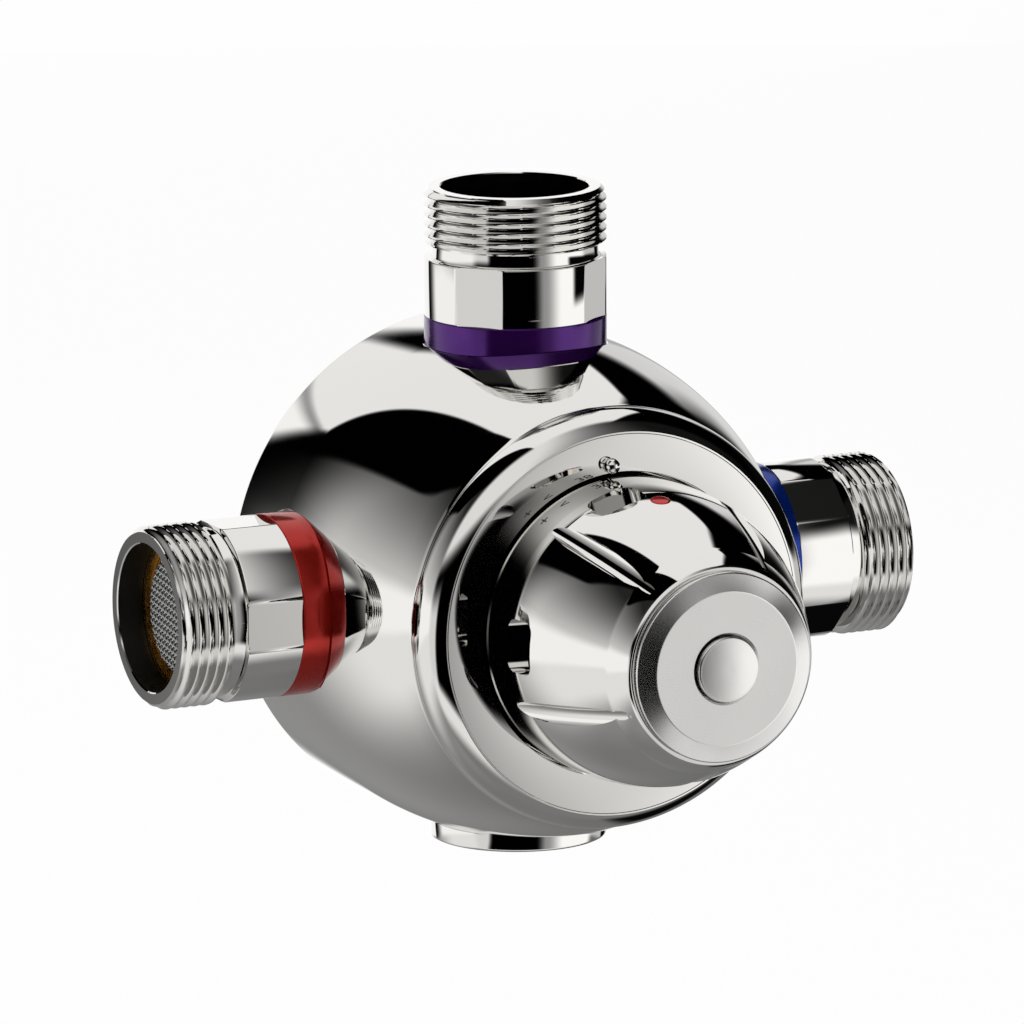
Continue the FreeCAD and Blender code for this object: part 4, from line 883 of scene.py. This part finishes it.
def make_knob():
    line = bell_line()
    inner = SKIRT_R - KNOB_WALL
    web_back = KNOB_WEB_FRONT - KNOB_WEB
    inside = [
        (CAP_RECESS_R, KNOB_FRONT_DEPTH), (CAP_RECESS_R, KNOB_WEB_FRONT), (0, KNOB_WEB_FRONT),
        (0, web_back), (BELL_NOSE_R - KNOB_WALL - 2.5, web_back),
        (BELL_MID_R - KNOB_WALL - 1.5, BELL_MID_DEPTH - 4), (inner - 1.2, LIP_DEPTH + 3),
        (inner, LIP_DEPTH - 6), (inner, SKIRT_BACK),
    ]
    knob = lathe("bell_knob", line + inside, on_axis, 360)
    step = 360 / FLUTES
    cutters = [flute_cutter(FLUTE_FIRST_DEG + i * step) for i in range(FLUTES)]
    cutters += [pocket_cutter(POCKET_FIRST_DEG + i * step) for i in range(FLUTES)]
    subtract(knob, *cutters)
    shade(knob, 20.0)
    lay_normals(knob, knob_field(line))
    finish(knob, "chrome_plate", "control_knob", "knob")


def make_cap():
    hole = BUTTON_R + BUTTON_GROOVE
    points = profile([
        (hole, CAP_BACK - CAP_SPIGOT), (CAP_SPIGOT_R, CAP_BACK - CAP_SPIGOT), (CAP_SPIGOT_R, CAP_BACK),
        (CAP_R - 0.3, CAP_BACK), (CAP_R, CAP_BACK + 0.3), (CAP_R, CAP_CORNER_DEPTH - 0.35),
        ((CAP_R - 0.1, CAP_CORNER_DEPTH - 0.1), (CAP_R - 0.35, CAP_CORNER_DEPTH + 0.08), 8),
        (CAP_FLAT_R + 0.35, CAP_FRONT - 0.12),
        ((CAP_FLAT_R + 0.1, CAP_FRONT - 0.02), (CAP_FLAT_R - 0.15, CAP_FRONT), 6),
        (hole + 0.4, CAP_FRONT), (hole, CAP_FRONT - 0.4),
    ])
    piece = lathe("nose_cap", points, on_axis, 360)
    finish(piece, "chrome_plate", "control_knob", "knob_cap", look="satin_chrome")


def make_button():
    flange_front = CAP_BACK - CAP_SPIGOT - 0.1
    flange_back = flange_front - BUTTON_FLANGE
    hollow_end = flange_front + BUTTON_HOLLOW
    edge = BUTTON_FRONT - BUTTON_DOME
    points = profile([
        (0, BUTTON_FRONT),
        ((BUTTON_R / 2, BUTTON_FRONT - 0.25 * BUTTON_DOME), (BUTTON_R - 0.5, edge), 20),
        ((BUTTON_R - 0.12, edge - 0.15), (BUTTON_R, edge - 0.5), 8),
        (BUTTON_R, flange_front), (BUTTON_FLANGE_R, flange_front), (BUTTON_FLANGE_R, flange_back),
        (BUTTON_HOLLOW_R, flange_back), (BUTTON_HOLLOW_R, hollow_end), (0, hollow_end),
    ])
    piece = lathe("centre_button", points, on_axis, 192)
    finish(piece, "chrome_plate", "button", "push_button", look="satin_chrome")


def bell_radius(depth):
    line = bell_line()
    for (r0, d0), (r1, d1) in zip(line, line[1:]):
        if d0 <= depth <= d1 and d1 > d0:
            return r0 + (r1 - r0) * (depth - d0) / (d1 - d0)
    return SKIRT_R


def make_dot():
    angle = math.radians(DOT_ANGLE)

    def place(r, turn, height):
        depth = DOT_DEPTH + r * math.cos(turn)
        around = r * math.sin(turn)
        radius = bell_radius(depth) + height
        swing = angle + around / bell_radius(DOT_DEPTH)
        return Vector((radius * math.cos(swing), -depth, radius * math.sin(swing)))
    points = [
        (0, -DOT_SUNK), (DOT_R, -DOT_SUNK), (DOT_R, 0.0), (DOT_R - 0.15, DOT_PROUD * 0.7),
        (DOT_R - 0.5, DOT_PROUD), (0, DOT_PROUD),
    ]
    piece = lathe("red_dot", points, place, 48)
    finish(piece, "red_enamel", "control_knob", "index_dot")


SCALE_MARKS = (("38", 102.5, 1.0), ("<", 119.0, 1.0), ("+", 129.0, 1.1))


def make_scale():
    """Figures printed on the knob's skirt, wrapped round it as a thin film."""
    for i, (words, degrees, size) in enumerate(SCALE_MARKS):
        curve = bpy.data.curves.new("mark", "FONT")
        curve.body = words
        curve.size = SCALE_HEIGHT * size / CAPITAL_SHARE
        curve.align_x = "CENTER"
        curve.align_y = "CENTER"
        curve.resolution_u = 6
        flat = bpy.data.objects.new("mark", curve)
        bpy.context.scene.collection.objects.link(flat)
        view = bpy.context.evaluated_depsgraph_get()
        mesh = bpy.data.meshes.new_from_object(flat.evaluated_get(view))
        bpy.data.objects.remove(flat)
        work = bmesh.new()
        work.from_mesh(mesh)
        bmesh.ops.triangulate(work, faces=work.faces)
        bmesh.ops.subdivide_edges(work, edges=work.edges, cuts=2)
        radius = SKIRT_R + PRINT_PROUD
        for v in work.verts:
            swing = math.radians(degrees) - v.co.x / radius
            depth = SCALE_DEPTH - v.co.y
            v.co = Vector((radius * math.cos(swing), -depth, radius * math.sin(swing))) * MM
        work.to_mesh(mesh)
        work.free()
        piece = bpy.data.objects.new("scale_mark_%d" % i, mesh)
        bpy.context.scene.collection.objects.link(piece)
        finish(piece, "seal_rubber", "control_knob", look="scale_print")


# Studio

FLOOR_LEVEL, FLOOR_HALF = -0.35, 6.0
TENT_RADIUS, TENT_CENTRE = 3.0, (0.0, -0.07, 0.0)
TABLE_HALF, TABLE_LIFT = 3.0, 0.001
# How white the floor shows by itself, the share of light that the chrome reflects, and the power
# that turns a tone as it is seen into light
WHITE_SHARE, CHROME_SHARE, TONE_POWER = 0.94, 0.79, 2.2
LAMP_SIZE = 1.2


def beyond(x, z, start, end):
    """Degrees that a place lies to the right of the line from start to end."""
    (ax, az), (bx, bz) = start, end
    length = math.dist(start, end)
    return (x - ax) * ((bz - az) / length) - (z - az) * ((bx - ax) / length)


def studio_tone(x, z, front_x, front_z, ahead):
    """Brightness of the studio, by degrees away from straight behind and from straight ahead."""
    left = blend(0.93, 0.72, fade(z, 2, 13)) - held(z - 13, 0, 48) * 0.0118
    tone = left * blend(fade(x, -14, -50), fade(x, -16, -38), fade(z, 8, 0))
    flag = fade(beyond(x, z, (-51, 45), (-18, 16)), 1.5, -1.5) * fade(x, -54, -50) * fade(z, 14, 18)
    tone = blend(tone, 0.02, flag)
    tone = blend(tone, 0.93, fade(x, -17.5, -14.5) * fade(x, 33, 29) * fade(z, 23, 19))
    tone = blend(tone, blend(0.78, 0.06, fade(x, 39, 53)), fade(x, 29, 33) * fade(z, 28, 20))
    tone = blend(tone, 0.72, fade(x, 60, 66) * fade(z, -2, -8))
    above = fade(z, 20.5, 22)
    high = fade(beyond(x, z, (31, 35), (43, 56)), 1, -1) * fade(beyond(x, z, (8, 44), (31, 35)), 1, -1)
    high = high * fade(x, 41, 37)
    tone = blend(tone, 0.88, fade(x, -17, -15.5) * above * larger(high, fade(x, 11, 7)))
    table = blend(0.52, 0.86, fade(x, -14, -58))
    table = blend(table, 0.40, fade(x, 0, 32))
    table = blend(table, 0.42, fade(z, -36, -66) * 0.8)
    table = blend(table, 0.06, fade(x, 26, 36) * fade(z, -50, -60))
    tone = blend(tone, table, fade(z + x * 0.08, -18, -24))
    front = blend(0.02, 0.55, fade(front_x, -4, 12))
    front = blend(front, 0.97, fade(front_x, 12, 36))
    front = blend(front, 0.05, fade(front_x, 50, 58) * fade(front_z, -6, 0))
    front = blend(front, blend(0.84, 0.10, fade(front_x, -10, 44)), fade(front_z, 16, 36))
    front = blend(front, 0.80, fade(front_x, -58, -66) * fade(front_z, 20, -4))
    floor = blend(0.86, 0.45, fade(front_z, -46, -66))
    front = blend(front, floor, fade(front_z, -30, -40))
    return blend(tone, front, fade(ahead, 0.0, 0.22))


def studio_material():
    made = bpy.data.materials.new("studio")
    made.use_nodes = True
    tree = made.node_tree
    nodes, links = tree.nodes, tree.links
    nodes.remove(nodes["Principled BSDF"])
    place = nodes.new("ShaderNodeNewGeometry")
    away = nodes.new("ShaderNodeVectorMath")
    away.operation = "SUBTRACT"
    away.inputs[1].default_value = TENT_CENTRE
    unit = nodes.new("ShaderNodeVectorMath")
    unit.operation = "NORMALIZE"
    parts = nodes.new("ShaderNodeSeparateXYZ")
    links.new(place.outputs["Position"], away.inputs[0])
    links.new(away.outputs["Vector"], unit.inputs[0])
    links.new(unit.outputs["Vector"], parts.inputs["Vector"])
    dx, dy, dz = (Value(tree, parts.outputs[name]) for name in ("X", "Y", "Z"))
    sideways = (dx * dx + dz * dz).join("SQRT").join("MAXIMUM", 0.0001)
    behind = dy.join("ARCCOSINE") * (180 / math.pi) / sideways
    ahead = dy * -1.0
    before = ahead.join("ARCCOSINE") * (180 / math.pi) / sideways
    tone = studio_tone(dx * behind, dz * behind, dx * before, dz * before, ahead)
    light = tone.join("POWER", TONE_POWER) / CHROME_SHARE
    glow = nodes.new("ShaderNodeEmission")
    links.new(light.socket, glow.inputs["Strength"])
    links.new(glow.outputs["Emission"], nodes["Material Output"].inputs["Surface"])
    made.cycles.emission_sampling = "NONE"
    return made


def make_tent(made):
    """Panels and flags of the studio, seen by the valve and not by the camera."""
    work = bmesh.new()
    bmesh.ops.create_icosphere(work, subdivisions=5, radius=TENT_RADIUS)
    mesh = bpy.data.meshes.new("tent")
    work.to_mesh(mesh)
    work.free()
    tent = bpy.data.objects.new("tent", mesh)
    tent.location = TENT_CENTRE
    bpy.context.scene.collection.objects.link(tent)
    tent.data.materials.append(made)
    tent.visible_camera = False
    tent.visible_shadow = False


def flat_sheet(name, half, level):
    corners = [(-half, -half, level), (half, -half, level), (half, half, level), (-half, half, level)]
    mesh = bpy.data.meshes.new(name)
    mesh.from_pydata(corners, [], [(0, 1, 2, 3)])
    sheet = bpy.data.objects.new(name, mesh)
    bpy.context.scene.collection.objects.link(sheet)
    return sheet


def make_table(made):
    """The grey table top that the chrome reflects, just above the floor."""
    table = flat_sheet("table", TABLE_HALF, FLOOR_LEVEL + TABLE_LIFT)
    table.data.materials.append(made)
    table.visible_camera = False
    table.visible_diffuse = False
    table.visible_shadow = False
    table.visible_transmission = False


def white_share(tree):
    """1 for a ray from the camera or off metal or glass."""
    path = tree.nodes.new("ShaderNodeLightPath")
    rays = ("Is Camera Ray", "Is Glossy Ray", "Is Transmission Ray")
    seen, gloss, glass = (Value(tree, path.outputs[name]) for name in rays)
    return larger(larger(seen, gloss), glass)


def make_floor():
    floor = flat_sheet("floor", FLOOR_HALF, FLOOR_LEVEL)
    made = bpy.data.materials.new("floor")
    made.use_nodes = True
    tree = made.node_tree
    shader = tree.nodes["Principled BSDF"]
    shader.inputs["Base Color"].default_value = (0.88, 0.88, 0.88, 1)
    shader.inputs["Roughness"].default_value = 0.9
    shader.inputs["Specular IOR Level"].default_value = 0.0
    glow = tree.nodes.new("ShaderNodeEmission")
    glow.inputs["Strength"].default_value = 1.0
    mix = tree.nodes.new("ShaderNodeMixShader")
    feed(tree, mix.inputs["Fac"], white_share(tree) * WHITE_SHARE)
    tree.links.new(shader.outputs["BSDF"], mix.inputs[1])
    tree.links.new(glow.outputs["Emission"], mix.inputs[2])
    tree.links.new(mix.outputs["Shader"], tree.nodes["Material Output"].inputs["Surface"])
    floor.data.materials.append(made)


def make_world():
    world = bpy.data.worlds.new("studio")
    bpy.context.scene.world = world
    world.use_nodes = True
    tree = world.node_tree
    ground = tree.nodes["Background"]
    ground.inputs["Color"].default_value = (1, 1, 1, 1)
    ground.inputs["Strength"].default_value = 0.8
    white = tree.nodes.new("ShaderNodeBackground")
    white.inputs["Color"].default_value = (1, 1, 1, 1)
    white.inputs["Strength"].default_value = 1.0
    mix = tree.nodes.new("ShaderNodeMixShader")
    feed(tree, mix.inputs["Fac"], white_share(tree))
    tree.links.new(ground.outputs["Background"], mix.inputs[1])
    tree.links.new(white.outputs["Background"], mix.inputs[2])
    tree.links.new(mix.outputs["Shader"], tree.nodes["World Output"].inputs["Surface"])


def make_lamp(name, place, power):
    data = bpy.data.lights.new(name, "AREA")
    data.shape = "SQUARE"
    data.size = LAMP_SIZE
    data.energy = power
    lamp = bpy.data.objects.new(name, data)
    bpy.context.scene.collection.objects.link(lamp)
    lamp.location = place
    toward = Vector(TENT_CENTRE) - Vector(place)
    lamp.rotation_euler = toward.to_track_quat("-Z", "Y").to_euler()
    lamp.visible_glossy = False


def make_lamps():
    make_lamp("lamp_left", (-1.3, -1.0, 1.2), 20.0)
    make_lamp("lamp_right", (1.3, -1.1, 1.0), 11.0)
    make_lamp("lamp_back", (0.2, 1.4, 1.3), 11.0)


make_camera()
dress_solids()
make_casting()
make_face_ring()
make_stud()
for port in ("hot", "cold", "outlet"):
    make_connector(port)
    make_marking_ring(port)
make_plug()
for port in ("hot", "cold"):
    make_filter_ring(port)
    make_filter_mesh(port)
make_knob()
make_cap()
make_button()
make_dot()
make_scale()
studio = studio_material()
make_tent(studio)
make_table(studio)
make_floor()
make_world()
make_lamps()
bpy.context.scene.view_settings.view_transform = "Standard"
